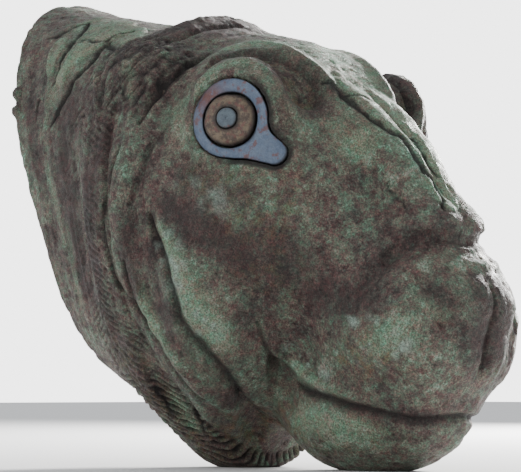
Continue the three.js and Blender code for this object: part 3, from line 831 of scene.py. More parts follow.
@dataclass(frozen=True)
class Relief:
    """Fine shape of the skin, measured outward in millimetres, and where its colours lie."""

    form: HeadForm
    stroke_pitch: float = 5.6
    stroke_depth: float = 1.5
    hair_reach: float = 0.62
    ring_radius: float = 122.0

    def sections(self, tracer: SkinTracer, trails: tuple) -> np.ndarray:
        """Sum the trails' bell-shaped sections, height times exp(-gap^2)."""
        return sum(trail.height * np.exp(-tracer.gap(trail) ** 2) for trail in trails)

    def bowls(self, tracer: SkinTracer) -> np.ndarray:
        """Depth of the hollows: flat in the middle, with soft walls at the edge."""
        bowls = [trail.height * smooth_step(1.4, 0.45, tracer.gap(trail)) for trail in HOLLOWS]
        return np.maximum.reduce(bowls)

    def patch(self, tracer: SkinTracer, trails: tuple) -> np.ndarray:
        """Measure how far each point lies in any of a set of patches.

        Args:
            tracer: The skin's tracer.
            trails: The patches' middle lines.

        Returns:
            1 less the product of what each patch leaves uncovered.
        """
        left = 1.0
        for trail in trails:
            left = left * (1.0 - trail.height * np.exp(-tracer.gap(trail) ** 2))
        return 1.0 - left

    def around(self, points: np.ndarray) -> np.ndarray:
        """Length round the ruff's ring to each point, from the level of its middle."""
        angle = np.arctan2(points[:, 2] - self.form.ruff_middle, np.abs(points[:, 1]))
        return angle * self.ring_radius

    def ruff_mask(self, points: np.ndarray) -> tuple[np.ndarray, np.ndarray]:
        """Measure where the points are on the ruff.

        Args:
            points: Places on the skin.

        Returns:
            How far each is on the ruff, from 0 to 1, and its share of the way from back to front.
        """
        station = self.form.ruff_place(points)
        ruff_edge, _ = self.form.fold_edges(points)
        ruff_back = self.form.ruff_station - 16.0
        share = (station - ruff_back) / (ruff_edge - ruff_back)
        ring = np.abs(self.form.ring(points))
        back_reach = self.hair_reach * smooth_step(232.0, 196.0, points[:, 2])
        mask = smooth_step(26.0, 12.0, ring)
        mask = mask * smooth_step(-0.12 - back_reach, 0.1 - back_reach, share)
        return mask * smooth_step(1.02, 0.94, share), share

    def hair(self, points: np.ndarray) -> np.ndarray:
        """Depth of the hair strokes on the ruff: slanting cuts that meet midway, as on a plait.

        Args:
            points: Places on the skin.

        Returns:
            Depth of each, the square of a raised cosine across the strokes, worn by noise.
        """
        mask, share = self.ruff_mask(points)
        high = smooth_step(200.0, 250.0, points[:, 2])
        wander = (5.0 + 9.0 * high) * Noise(5).read(points, 24.0)
        wander = wander + (1.6 + 3.0 * high) * Noise(15).read(points, 8.0)
        slant = 24.0 * np.abs(share - 0.12)
        place = self.around(points) + slant + wander
        stroke = 0.5 + 0.5 * np.cos(TURN * place / self.stroke_pitch)
        patchy = Noise(6).read(points, 17.0) + 0.5 * Noise(16).read(points, 7.0)
        wear = smooth_step(-0.55, 0.55, patchy)
        side = smooth_step(100.0, 130.0, points[:, 2]) * smooth_step(222.0, 190.0, points[:, 2])
        low = smooth_step(64.0, 46.0, points[:, 2])
        wear = np.maximum(wear, low * smooth_step(0.4, 0.55, share))
        depth = self.stroke_depth * (1.0 - 0.6 * high - 0.6 * side + 0.8 * low)
        return depth * mask * (0.25 + 0.9 * wear) * stroke ** 2

    def ear_hair(self, points: np.ndarray) -> np.ndarray:
        """Depth of the creases between the coarse curls over the ear.

        Args:
            points: Places on the skin.

        Returns:
            The depth, greatest along the lines where either of two noises crosses nought.
        """
        place = turned_left(points)
        mask = smooth_step(12.0, 3.0, np.abs(ellipsoid(place, (-32, 66, 236), (36, 24, 28))))
        mask = mask * smooth_step(8.0, 0.0, place[:, 0]) * smooth_step(204.0, 220.0, place[:, 2])
        ways = ((0.22, -0.1, 0.30), (0.8, 0.1, -0.6), (0.0, 1.0, 0.3))
        drawn = np.stack([place @ np.array(way) for way in ways], axis=1)
        coarse, fine = np.abs(Noise(7).read(drawn, 6.0)), np.abs(Noise(17).read(drawn, 3.2))
        return mask * (1.5 * smooth_step(0.3, 0.0, coarse) + 0.9 * smooth_step(0.35, 0.0, fine))

    def striae(self, points: np.ndarray) -> np.ndarray:
        """Fine lines that run round the neck, the ruff and the folds in front of it.

        Args:
            points: Places on the skin.

        Returns:
            Height of two noises, long round the head and short along it.
        """
        side = np.sign(points[:, 1]) * 300.0
        stretched = np.stack([self.form.station(points), self.around(points) / 14.0, side], axis=1)
        station = stretched[:, 0]
        mask = smooth_step(40.0, 6.0, station) * smooth_step(300.0, 250.0, points[:, 2])
        return mask * (0.75 * Noise(8).read(stretched, 2.6) + 0.6 * Noise(9).read(stretched, 6.5))

    def unevenness(self, points: np.ndarray) -> np.ndarray:
        """Swells, dents and corrosion, from broad to fine.

        Args:
            points: Places on the skin.

        Returns:
            Height of two swells and two crusts, less the pits.
        """
        swell = 1.0 * Noise(1).read(points, 32.0) + 0.6 * Noise(2).read(points, 13.0)
        crust = 0.38 * Noise(3).read(points, 5.5) + 0.26 * Noise(4).read(points, 2.6)
        pits = -0.6 * smooth_step(0.48, 0.80, Noise(10).read(points, 3.4))
        return swell + crust + pits

    def lid(self, points: np.ndarray) -> np.ndarray:
        """Height of the rolled edge round each eye.

        Args:
            points: Places on the skin.

        Returns:
            A bell-shaped roll with a groove outside it, less the open gap on the inner side.
        """
        total = np.zeros(len(points))
        for side in Side:
            gap, inner, near = EyePlane(side).inner_gap(points, 16.0)
            roll = 1.3 * np.exp(-((gap - 3.4) / 2.2) ** 2)
            groove = 0.7 * np.exp(-((gap - 8.6) / 2.4) ** 2)
            total -= near * inner * 1.6 * smooth_step(3.6, 1.6, gap)
            total += near * (roll - groove)
        return total

    def shade(self, points: np.ndarray) -> np.ndarray:
        """Painted shadow in the open gap along the inner side of each eye.

        Args:
            points: Places on the skin.

        Returns:
            How dark the painted shadow is at each, from 0 to 1.
        """
        total = np.zeros(len(points))
        for side in Side:
            gap, inner, near = EyePlane(side).inner_gap(points, 12.0)
            total += near * inner * smooth_step(4.2, 1.4, gap)
        return total

    def flakes(self, tracer: SkinTracer) -> np.ndarray:
        """Height of the crust that still stands in plates with broken edges.

        Args:
            tracer: The skin's tracer.

        Returns:
            The highest plate's height at each point, its edge moved about by noise.
        """
        edge = 0.45 * Noise(24).layered(tracer.points, 14.0, 3)
        total = np.zeros(len(edge))
        for trail in PLATES:
            plate = trail.height * smooth_step(1.12, 0.94, tracer.gap(trail) + edge)
            total = np.maximum(total, plate)
        return total

    def height(self, points: np.ndarray) -> tuple[np.ndarray, dict[str, np.ndarray]]:
        """Work out the relief and where the colours lie.

        Args:
            points: Places on the plain skin.

        Returns:
            How far each moves outward, and the colours' numbers from 0 to 1 by name.
        """
        tracer = SkinTracer(points)
        wander = 1.5 * np.stack([Noise(seed).layered(points, 8.0, 2)
                                 for seed in (21, 22, 23)], axis=1)
        cuts = self.hair(points) + self.ear_hair(points)
        lines = self.sections(tracer, GROOVES)
        cracks = np.maximum.reduce([trail.height * np.exp(-tracer.gap(trail, wander) ** 2)
                                    for trail in CRACKS])
        bowls, flakes = self.bowls(tracer), self.flakes(tracer)
        raised = self.sections(tracer, RIDGES) + flakes + self.lid(points)
        level = smooth_step(0.5, 8.0, points[:, 2])
        uneven = self.unevenness(points) + self.striae(points)
        outward = (raised + uneven - cuts - lines - cracks - bowls) * level
        dark, pale = self.patch(tracer, DARK_PATCHES), self.patch(tracer, PALE_PATCHES)
        # Painted shade, with some real dirt: the 'cut' number darkens the hair cuts, grooves,
        # cracks, hollows and each eye's inner gap.
        shade_and_dirt = 0.42 * cuts + 0.26 * lines + 1.2 * cracks + 0.03 * bowls + self.shade(points)
        light = pale * (1.0 - 0.9 * dark) + 0.7 * smooth_step(0.2, 0.7, flakes)
        chips = smooth_step(0.38, 0.48, Noise(31).layered(points, 6.0, 2))
        values = {
            "cut": np.clip(shade_and_dirt, 0.0, 1.0),
            "dark": dark,
            "pale": np.clip(light, 0.0, 1.0),
            "warm": self.patch(tracer, WARM_PATCHES),
            "chip": self.patch(tracer, CHIPPED_PATCHES) * chips,
            # Lighter on swells and darker in pits, as the crust lies; the hair cuts lower it too,
            # as painted shade.
            "swell": np.clip(0.5 + 0.35 * (uneven - 0.8 * cuts), 0.0, 1.0),
        }
        return outward, values


# ---- from the distance to a mesh ----

@dataclass(frozen=True)
class SpineRays:
    """Rays from the spine of the head: a share of 0 is at the neck's rim, and 1 at the muzzle."""

    rim_station: float = -138.0
    rim_height: float = 190.0
    rim_lean_degrees: float = 20.0
    neck_run: float = 148.0
    face_run: float = 75.0
    drop: float = 45.0
    neck_share: float = 0.36
    tip_way: tuple = (0.985, 0.0, -0.1)
    reach: float = 240.0

    def aim(self, share: np.ndarray, angle: np.ndarray) -> tuple[np.ndarray, np.ndarray]:
        """Find where each ray starts and which way it goes.

        Args:
            share: Place along the spine.
            angle: Turn round the head from its left side, up and over.

        Returns:
            Origins and unit directions. Behind the face the origins slide along the spine; in
            the face the rays swing, as a fan, toward the muzzle.
        """
        back = np.clip(share / self.neck_share, 0.0, 1.0)
        front = np.clip((share - self.neck_share) / (1.0 - self.neck_share), 0.0, 1.0)
        fan = front * math.pi / 2.0
        lean = math.radians(self.rim_lean_degrees) * (1.0 - back)
        along = self.rim_station + self.neck_run * back + self.face_run * np.sin(fan) ** 1.5
        height = self.rim_height - self.drop * back - self.drop * np.sin(fan)
        origin = np.stack([along, np.zeros_like(back), height], axis=1)
        around = np.stack([-np.sin(lean) * np.sin(angle), np.cos(angle),
                           np.cos(lean) * np.sin(angle)], axis=1)
        tip = np.array(self.tip_way)
        direction = np.cos(fan)[:, None] * around + np.sin(fan)[:, None] * tip / np.linalg.norm(tip)
        return origin, direction / np.linalg.norm(direction, axis=1, keepdims=True)

    def cast(self, distance: Distance, share: np.ndarray, angle: np.ndarray) -> np.ndarray:
        """Find the outermost point of the skin on each ray.

        Args:
            distance: The form's signed distance, as a function of points.
            share: Place along the spine.
            angle: Turn round the head.

        Returns:
            The points, stepped to from outside by half the distance and then halved down.
        """
        origin, direction = self.aim(share, angle)
        near = np.full(len(origin), self.reach)
        far = near.copy()
        active = np.arange(len(origin))
        while len(active):
            gap = distance(origin[active] + direction[active] * near[active, None])
            outside = (gap > 0.0) & (near[active] > 0.0)
            active, gap = active[outside], gap[outside]
            far[active] = near[active]
            near[active] -= np.clip(0.5 * gap, 1.0, 30.0)
        for _ in range(11):
            middle = (near + far) / 2.0
            outside = distance(origin + direction * middle[:, None]) > 0.0
            near, far = np.where(outside, near, middle), np.where(outside, middle, far)
        return origin + direction * ((near + far) / 2.0)[:, None]


def even_shares(points: np.ndarray, values: np.ndarray, count: int) -> np.ndarray:
    """Respace a coarse grid's parameter so that its lines lie evenly over the surface.

    Args:
        points: Coarse grid of points, its first axis along the parameter.
        values: The parameter's value on each coarse line.
        count: How many lines are wanted.

    Returns:
        The parameter at equal steps of the path length, which is the mean of all the coarse paths'.
    """
    steps = np.linalg.norm(np.diff(points, axis=0), axis=2)
    length = np.concatenate([[0.0], np.cumsum(np.sqrt((steps ** 2).mean(axis=1)))])
    return np.interp(np.linspace(0.0, length[-1], count), length, values)


def grid_normals(grid: np.ndarray) -> np.ndarray:
    """Unit normals of a grid that closes on itself along its second axis.

    Args:
        grid: Points, rows by columns.

    Returns:
        The crossed differences along and round the grid, at unit length.
    """
    along = np.gradient(grid, axis=0)
    around = np.roll(grid, -1, axis=1) - np.roll(grid, 1, axis=1)
    normal = np.cross(around, along)
    return normal / np.maximum(np.linalg.norm(normal, axis=2, keepdims=True), 1e-9)


def ring_faces(rows: int, columns: int, first: int = 0) -> np.ndarray:
    """Quads between the rings of a grid that closes along its columns.

    Args:
        rows: Number of rings.
        columns: Points in a ring.
        first: Index of the grid's first vertex.

    Returns:
        One quad a row, as four vertex indices.
    """
    row, column = np.meshgrid(np.arange(rows - 1), np.arange(columns), indexing="ij")
    after = (column + 1) % columns
    corners = (row * columns + column, row * columns + after,
               (row + 1) * columns + after, (row + 1) * columns + column)
    return first + np.stack(corners, axis=-1).reshape(-1, 4)


def fan_faces(ring: np.ndarray, pole: int) -> np.ndarray:
    """Triangles from a ring of vertex indices to one pole."""
    return np.stack([ring, np.roll(ring, -1), np.full_like(ring, pole)], axis=1)


def in_scene(name: str, data: bpy.types.ID) -> bpy.types.Object:
    """Make an object of some data and link it to the scene.

    Args:
        name: The object's name.
        data: Its mesh, camera or light.

    Returns:
        The object.
    """
    thing = bpy.data.objects.new(name, data)
    bpy.context.scene.collection.objects.link(thing)
    return thing


class MeshMaker:
    """Turns arrays into Blender meshes, in metres and in the place that the CAD gives the head."""

    def __init__(self, shift: np.ndarray) -> None:
        """Keep the shift, in millimetres, from the head's own place to the one in the CAD."""
        self.shift = shift

    def build(self, name: str, points: np.ndarray, quads: np.ndarray, triangles: np.ndarray,
              attributes: dict[str, np.ndarray]) -> bpy.types.Object:
        """Make a smooth-shaded object.

        Args:
            name: The piece's name.
            points: Vertices in millimetres.
            quads: Faces of four corners, which may be none.
            triangles: Faces of three corners, which may be none.
            attributes: Numbers on the vertices, by name.

        Returns:
            The object, linked to the scene.
        """
        mesh = bpy.data.meshes.new(name)
        mesh.vertices.add(len(points))
        mesh.vertices.foreach_set("co", ((points + self.shift) * METRE).astype(np.float32).ravel())
        corners = np.concatenate([quads.ravel(), triangles.ravel()]).astype(np.int32)
        counts = np.concatenate([np.full(len(quads), 4), np.full(len(triangles), 3)])
        mesh.loops.add(len(corners))
        mesh.loops.foreach_set("vertex_index", corners)
        mesh.polygons.add(len(counts))
        starts = np.concatenate([[0], np.cumsum(counts)[:-1]]).astype(np.int32)
        mesh.polygons.foreach_set("loop_start", starts)
        mesh.update(calc_edges=True)
        mesh.polygons.foreach_set("use_smooth", np.ones(len(counts), bool))
        for key, values in attributes.items():
            numbers = mesh.attributes.new(key, "FLOAT", "POINT")
            numbers.data.foreach_set("value", values.astype(np.float32))
        mesh.validate()
        return in_scene(name, mesh)


@dataclass
class LionHead:
    """The cast head: outer skin with relief and eye sockets, the hollow inside, the neck's rim."""

    maker: MeshMaker
    form: HeadForm = field(default_factory=HeadForm)
    rays: SpineRays = field(default_factory=SpineRays)
    rows: int = 520
    half_columns: int = 320
    hollow_rows: int = 40
    coarse_rows: int = 90
    coarse_columns: int = 61
    skin_end: float = 0.995
    hollow_end: float = 0.985
    triangles: int = 186000
    boss_depth: float = 15.0
    boss_radius: float = 47.0
    eye_reach: float = 45.0
    eye_thickness: float = 18.0
    snap_share: float = 0.55
    nail_heads: tuple = ((-153.0, -73.0, 240.0), (-149.0, -76.0, 228.0))
    nail_height: float = 3.2
    nail_radii: tuple = (5.4, 2.4)
    rim_rounding: float = 0.36

    def hollow(self, points: np.ndarray) -> np.ndarray:
        """Distance to the hollow's skin.

        Args:
            points: Places to measure.

        Returns:
            The outer skin's distance plus the wall, less a lens behind each socket.
        """
        eye = EyePlane(Side.LEFT)
        local = eye.to_plane(turned_left(points))
        across = np.hypot(local[:, 0], local[:, 1])
        scaled = np.hypot(local[:, 2] / self.boss_depth, across / self.boss_radius)
        boss = (scaled - 1.0) * self.boss_depth
        return soft_cut(self.form.skin(points) + self.form.wall, -boss, 4.0)

    def half_angles(self) -> tuple[np.ndarray, np.ndarray]:
        """Work out what spaces the grid evenly over the left half, by a coarse grid.

        Returns:
            Shares of the rows, and angles of the columns from the bottom up to the top.
        """
        shares = np.linspace(0.0, self.skin_end, self.coarse_rows)
        angles = np.linspace(-math.pi / 2.0, math.pi / 2.0, self.coarse_columns)
        share, angle = np.meshgrid(shares, angles, indexing="ij")
        coarse = self.rays.cast(self.form.skin, share.ravel(), angle.ravel())
        coarse = coarse.reshape(self.coarse_rows, self.coarse_columns, 3)
        return (even_shares(coarse, shares, self.rows),
                even_shares(coarse.transpose(1, 0, 2), angles, self.half_columns))

    def whole_grid(self, distance: Distance, shares: np.ndarray, angles: np.ndarray) -> np.ndarray:
        """Cast the left half and mirror it to the right, without doubling the seam's two lines.

        Args:
            distance: The form's signed distance.
            shares: Places of the rows along the spine.
            angles: Places of the columns round the left side.

        Returns:
            The points, rows by columns.
        """
        share, angle = np.meshgrid(shares, angles, indexing="ij")
        left = self.rays.cast(distance, share.ravel(), angle.ravel())
        left = left.reshape(len(shares), len(angles), 3)
        left[:, (0, -1), 1] = 0.0
        return np.concatenate([left, left[:, -2:0:-1] * (1.0, -1.0, 1.0)], axis=1)

    def cut_socket(self, points: np.ndarray, eye: EyePlane, spacing: float) -> np.ndarray:
        """Sink the skin inside an eye's outline to the socket's floor.

        Args:
            points: Vertices of the outer skin.
            eye: The eye's plane.
            spacing: Size of the grid's cells, for snapping vertices to the outline.

        Returns:
            The vertices, those by the outline moved on to it and those inside it sunk.
        """
        local = eye.to_plane(points)
        within = np.hypot(local[:, 0], local[:, 1]) < self.eye_reach
        close = np.flatnonzero(within & (np.abs(local[:, 2]) < self.eye_thickness))
        across, up, _ = local[close].T
        gap = eye.teardrop(across, up)
        step = 0.05
        slope = np.stack([eye.teardrop(across + step, up) - gap,
                          eye.teardrop(across, up + step) - gap], axis=1) / step
        snapped = np.abs(gap) <= self.snap_share * spacing
        sunk = gap < -self.snap_share * spacing
        move = np.where(snapped, gap, 0.0)[:, None] * slope
        local[close, 0] = across - move[:, 0]
        local[close, 1] = up - move[:, 1]
        local[close[sunk], 2] = -eye.socket_depth
        moved = points.copy()
        moved[close] = eye.to_head(local[close])
        return moved

    def nails(self, points: np.ndarray) -> np.ndarray:
        """Height of the small round lumps on the right edge of the neck's rim.

        Args:
            points: Places on the skin.

        Returns:
            The height, which falls off smoothly with the distance from each lump's middle.
        """
        total = np.zeros(len(points))
        for place in self.nail_heads:
            gap = np.linalg.norm(points - np.array(place), axis=1)
            total += self.nail_height * smooth_step(*self.nail_radii, gap)
        return total

    def outer_skin(self, shares: np.ndarray,
                   angles: np.ndarray) -> tuple[np.ndarray, dict[str, np.ndarray]]:
        """Cast the outer skin and lay its relief on it.

        Args:
            shares: Places of the rows along the spine.
            angles: Places of the columns round the left side.

        Returns:
            Grid of points, and the values for the colours.
        """
        grid = self.whole_grid(self.form.skin, shares, angles)
        normals = grid_normals(grid).reshape(-1, 3)
        plain = grid.reshape(-1, 3)
        outward, values = Relief(self.form).height(plain)
        outward += self.nails(plain)
        points = plain + normals * outward[:, None]
        points[:, 2] = np.maximum(points[:, 2], 0.0)
        # Painted shade: 'hollow' rises where nearby skin closes round a point, and darkens the tone
        # as occlusion would.
        open_near = self.form.skin(plain + 7.0 * normals) / 7.0
        open_wide = self.form.skin(plain + 20.0 * normals) / 20.0
        values["hollow"] = np.clip(1.15 - 0.6 * open_near - 0.55 * open_wide, 0.0, 1.0)
        spacing = float(np.median(np.linalg.norm(grid - np.roll(grid, 1, axis=1), axis=2)))
        for side in Side:
            points = self.cut_socket(points, EyePlane(side), spacing)
        return points.reshape(grid.shape), values

    def round_rim(self, outer: np.ndarray, inner: np.ndarray) -> tuple[np.ndarray, np.ndarray]:
        """Soften the cast edge and let it wander, as an edge that broke and wore does.

        Args:
            outer: Grid of the outer skin.
            inner: Grid of the hollow.

        Returns:
            Both grids, their first rings drawn together and the ring's chips pushed along the neck.
        """
        lean = math.radians(self.rays.rim_lean_degrees)
        forward = np.array([math.cos(lean), 0.0, math.sin(lean)])
        chip = np.clip(1.6 * Noise(31).layered(outer[0], 18.0, 3) + 0.5, 0.0, 3.0)
        middle = (outer[0] + inner[0]) / 2.0
        for grid in (outer, inner):
            grid[0] += (middle - grid[0]) * self.rim_rounding + forward * chip[:, None]
            grid[1] += forward * np.maximum(chip - 0.2, 0.0)[:, None]
        return outer, inner

    def build(self) -> bpy.types.Object:
        """Build the head as one closed mesh, eased down to its triangle count.

        Returns:
            The piece: both skins, the rim that joins them and a fan at each skin's front end.
        """
        shares, angles = self.half_angles()
        outer, values = self.outer_skin(shares, angles)
        hollow_shares = np.linspace(0.0, self.hollow_end, self.hollow_rows)
        inner = self.whole_grid(self.hollow, hollow_shares, angles)
        outer, inner = self.round_rim(outer, inner)
        columns = outer.shape[1]
        outer_count, inner_count = self.rows * columns, self.hollow_rows * columns
        tips = np.array([outer[-1].mean(axis=0), inner[-1].mean(axis=0)])
        points = np.concatenate([outer.reshape(-1, 3), inner.reshape(-1, 3), tips])
        ring = np.arange(columns)
        rim = np.stack([ring, outer_count + ring, outer_count + np.roll(ring, -1),
                        np.roll(ring, -1)], axis=1)
        quads = np.concatenate([ring_faces(self.rows, columns),
                                ring_faces(self.hollow_rows, columns, outer_count)[:, ::-1], rim])
        outer_tip = fan_faces((self.rows - 1) * columns + ring, len(points) - 2)
        inner_last = outer_count + (self.hollow_rows - 1) * columns + ring
        inner_tip = fan_faces(inner_last, len(points) - 1)[:, ::-1]
        filled = {key: np.concatenate([part, np.full(inner_count + 2, self.inside_value(key))])
                  for key, part in values.items()}
        caps = np.concatenate([outer_tip, inner_tip])
        return self.ease(self.maker.build("lion_head_dense", points, quads, caps, filled))

    def inside_value(self, key: str) -> float:
        """Value that the hollow's skin has for one of the colours' numbers: painted shade and an
        earthy tone.
        """
        return {"hollow": 0.75, "warm": 0.5, "swell": 0.5}.get(key, 0.0)

    def ease(self, dense: bpy.types.Object) -> bpy.types.Object:
        """Join triangles where the skin is plain, so the mesh is fine only where its shape is.

        Args:
            dense: The head on its full grid, which is removed.

        Returns:
            The eased piece.
        """
        modifier = dense.modifiers.new("ease", "DECIMATE")
        modifier.ratio = self.triangles / (2.0 * len(dense.data.polygons))
        evaluated = dense.evaluated_get(bpy.context.evaluated_depsgraph_get())
        mesh = bpy.data.meshes.new_from_object(evaluated)
        mesh.name = "lion_head_skin"
        bpy.data.objects.remove(dense)
        return in_scene("lion_head_skin", mesh)


# ---- the inlays ----

@dataclass
class EyeInlays:
    """The white, iris and pupil of one eye, each a closed surface carried round its outline."""

    maker: MeshMaker
    form: HeadForm
    side: Side
    play: float = 0.9
    bed: float = 0.3
    iris_radius: float = 16.0
    iris_height: float = 13.0
    well_depth: float = 2.0
    pupil_radius: float = 6.2
    pupil_height: float = 3.2
    pole: float = 0.02
    steps: int = 200

    def eye(self) -> EyePlane:
        """Return the eye's plane."""
        return EyePlane(self.side)

    def skin_height(self, across: np.ndarray, up: np.ndarray) -> np.ndarray:
        """Height of the head's skin over the eye's plane, by halving along its normal.

        Args:
            across: Place toward the nose.
            up: Place up.

        Returns:
            The height at each place.
        """
        eye = self.eye()
        low, high = np.full_like(across, -20.0), np.full_like(across, 14.0)
        for _ in range(16):
            middle = (low + high) / 2.0
            outside = self.form.skin(eye.to_head(np.stack([across, up, middle], axis=1))) > 0.0
            low, high = np.where(outside, low, middle), np.where(outside, middle, high)
        return low

    def carry(self, name: str, across: np.ndarray, up: np.ndarray, height: np.ndarray,
              attributes: dict[str, np.ndarray]) -> bpy.types.Object:
        """Make a closed piece from rings of points in the eye's plane.

        Args:
            name: The piece's name.
            across: Place toward the nose, rings by points.
            up: Place up.
            height: Place out of the head.
            attributes: Values for the finish, on the same grid.

        Returns:
            The piece, whose last ring is joined to its first.
        """
        rows, columns = across.shape
        local = np.stack([across, up, height], axis=-1).reshape(-1, 3)
        points = self.eye().to_head(local)
        quads = ring_faces(rows, columns)
        last = (rows - 1) * columns
        seam = np.arange(columns)
        joined = np.stack([last + seam, last + np.roll(seam, -1), np.roll(seam, -1), seam], axis=1)
        quads = np.concatenate([quads, joined])
        if self.side is Side.LEFT:
            quads = quads[:, ::-1]
        flat = {key: values.ravel() for key, values in attributes.items()}
        return self.maker.build(name, points, quads, np.zeros((0, 3), int), flat)

    def white(self) -> bpy.types.Object:
        """Build the white: a teardrop plate with a round hole, rounded edges and a worn top.

        Its section runs from the hole's floor out under the plate, up its outer wall, over the
        rounded edge, in across the top and down the hole again.

        Returns:
            The piece.
        """
        eye = self.eye()
        angle = np.arange(self.steps) * TURN / self.steps
        hole_radius = self.iris_radius + self.play
        wobble = 0.35 * Noise(41).read(circle_points(20, angle), 6.0)
        outer_radius = eye.outline(angle, -self.play) - 0.3 + wobble
        inner = np.stack([hole_radius * np.cos(angle) - eye.iris_back, hole_radius * np.sin(angle)])
        outer = np.stack([outer_radius * np.cos(angle), outer_radius * np.sin(angle)])
        lift = self.skin_height(outer[0], outer[1]) - 1.3
        floor = self.floor()
        section = [(0.0, 0.0), (1.0, 0.0), (1.0, 0.55), (1.0, 0.86), (0.985, 0.96)]
        section += [(share, 1.0) for share in np.linspace(0.93, 0.07, 16)]
        section += [(0.015, 0.95), (0.0, 0.86), (0.0, 0.5)]
        out_share, rise = np.array(section).T
        across = inner[0] + (outer[0] - inner[0]) * out_share[:, None]
        up = inner[1] + (outer[1] - inner[1]) * out_share[:, None]
        top = -0.7 + (lift + 0.7) * out_share[:, None] ** 1.5
        crown = 0.9 * np.sin(math.pi * np.clip(out_share, 0.0, 1.0))[:, None]
        flat = np.stack([across.ravel(), up.ravel(), np.zeros(across.size)], axis=1)
        chips = smooth_step(0.5, 0.8, Noise(43).read(flat, 5.0))
        worn = (0.22 * Noise(42).layered(flat, 7.0, 3) - 0.5 * chips).reshape(across.shape)
        height = floor + (top + crown + worn - floor) * rise[:, None]
        stain = np.exp(-((across + 15.0) / 9.0) ** 2 - ((up - 14.0) / 9.0) ** 2)
        # Painted shade and grime at the hole's edge and the outer edge.
        rim = np.maximum(smooth_step(0.10, 0.0, out_share), smooth_step(0.92, 1.0, out_share))
        cut = rim[:, None] + 0.0 * across
        values = {"stain": np.clip(stain, 0, 1), "cut": np.clip(cut, 0, 1)}
        return self.carry(f"{self.prefix()}_white_inlay", across, up, height, values)

    def turned(self, name: str, radii: np.ndarray, heights: np.ndarray, seed: int,
               ripple: float, well: float = 0.0) -> bpy.types.Object:
        """Turn a profile round the iris's middle. Its two ends meet in a hair-thin bore there.

        Args:
            name: The piece's name.
            radii: Radius of each ring, from the underside out, up and in.
            heights: Height of each ring.
            seed: Seed of its wear.
            ripple: Strength of the wear.
            well: Radius of the well in its top, if it has one.

        Returns:
            The piece.
        """
        eye = self.eye()
        angle = np.arange(self.steps) * TURN / self.steps
        wear = ripple * Noise(seed).layered(circle_points(9, angle), 5.0, 2)
        radius = radii[:, None] * (1.0 + 0.02 * wear)
        across = radius * np.cos(angle) - eye.iris_back
        up = radius * np.sin(angle)
        flat = np.stack([across.ravel(), up.ravel(), np.repeat(heights, self.steps)], axis=1)
        pitted = 0.3 * ripple * Noise(seed + 1).layered(flat, 4.0, 3).reshape(across.shape)
        above = (heights > heights.min() + 1.0)[:, None]
        height = heights[:, None] + np.where(above, pitted, 0.0)
        around_well = smooth_step(well + 2.2, well + 0.6, radii) if well else 0.0
        # Painted shade and grime at the outer edge and round the well.
        edge = np.maximum(smooth_step(0.84, 1.0, radii / radii.max()), around_well)[:, None]
        values = {"cut": edge + 0.0 * across, "stain": 0.0 * across}
        return self.carry(name, across, up, height, values)

    def floor(self) -> float:
        """Height of an inlay's underside, a thin bed above the socket's floor."""
        return self.bed - self.eye().socket_depth

    def dome(self, sweep: np.ndarray | float) -> np.ndarray | float:
        """Height of the iris's dome where its radius has shrunk by the cosine of a sweep."""
        return self.floor() + 0.45 * self.iris_height + 0.6 * self.iris_height * np.sin(sweep)

    def iris(self) -> bpy.types.Object:
        """Build the iris: a low dome with a round well for the pupil.

        Returns:
            The piece, turned from a flat underside, a wall, a quarter ellipse and the well.
        """
        well = self.pupil_radius + 0.7
        sweep = np.linspace(0.0, math.acos(well / self.iris_radius), 14)
        floor, crown = self.floor(), self.dome(sweep[-1])
        radii = np.array([self.pole, 9.0, self.iris_radius, *(self.iris_radius * np.cos(sweep)),
                          well - 0.2, well - 0.3, self.pole])
        heights = np.array([floor, floor, floor, *self.dome(sweep),
                            crown - 0.7, crown - self.well_depth, crown - self.well_depth])
        return self.turned(f"{self.prefix()}_iris_inlay", radii, heights, 51, 1.7, well)

    def pupil(self) -> bpy.types.Object:
        """Build the pupil: a round stud with a soft edge, standing a little proud of the iris.

        Returns:
            The piece.
        """
        crown = self.dome(math.acos((self.pupil_radius + 0.5) / self.iris_radius))
        bottom = crown - self.well_depth + self.bed
        top = bottom + self.pupil_height
        radii = np.array([self.pole, 3.0, 6.1, 6.2, 6.2, 6.0, 5.5, 4.6, 3.2, 1.6, self.pole])
        heights = np.array([bottom, bottom, bottom, bottom + 0.4, top - 1.2, top - 0.6,
                            top - 0.25, top - 0.1, top, top, top])
        return self.turned(f"{self.prefix()}_pupil_inlay", radii, heights, 53, 0.6)

    def prefix(self) -> str:
        """Return the side's name as it stands in the pieces' names."""
        return self.side.name.lower()


# ---- finishes ----

def linear(red: float, green: float, blue: float) -> tuple[float, float, float, float]:
    """Turn a display colour into the linear light that shaders use.

    Args:
        red: Its red, from 0 to 1.
        green: Its green.
        blue: Its blue.

    Returns:
        The three levels and an alpha of 1.
    """
    levels = [value / 12.92 if value <= 0.04045 else ((value + 0.055) / 1.055) ** 2.4
              for value in (red, green, blue)]
    return (*levels, 1.0)


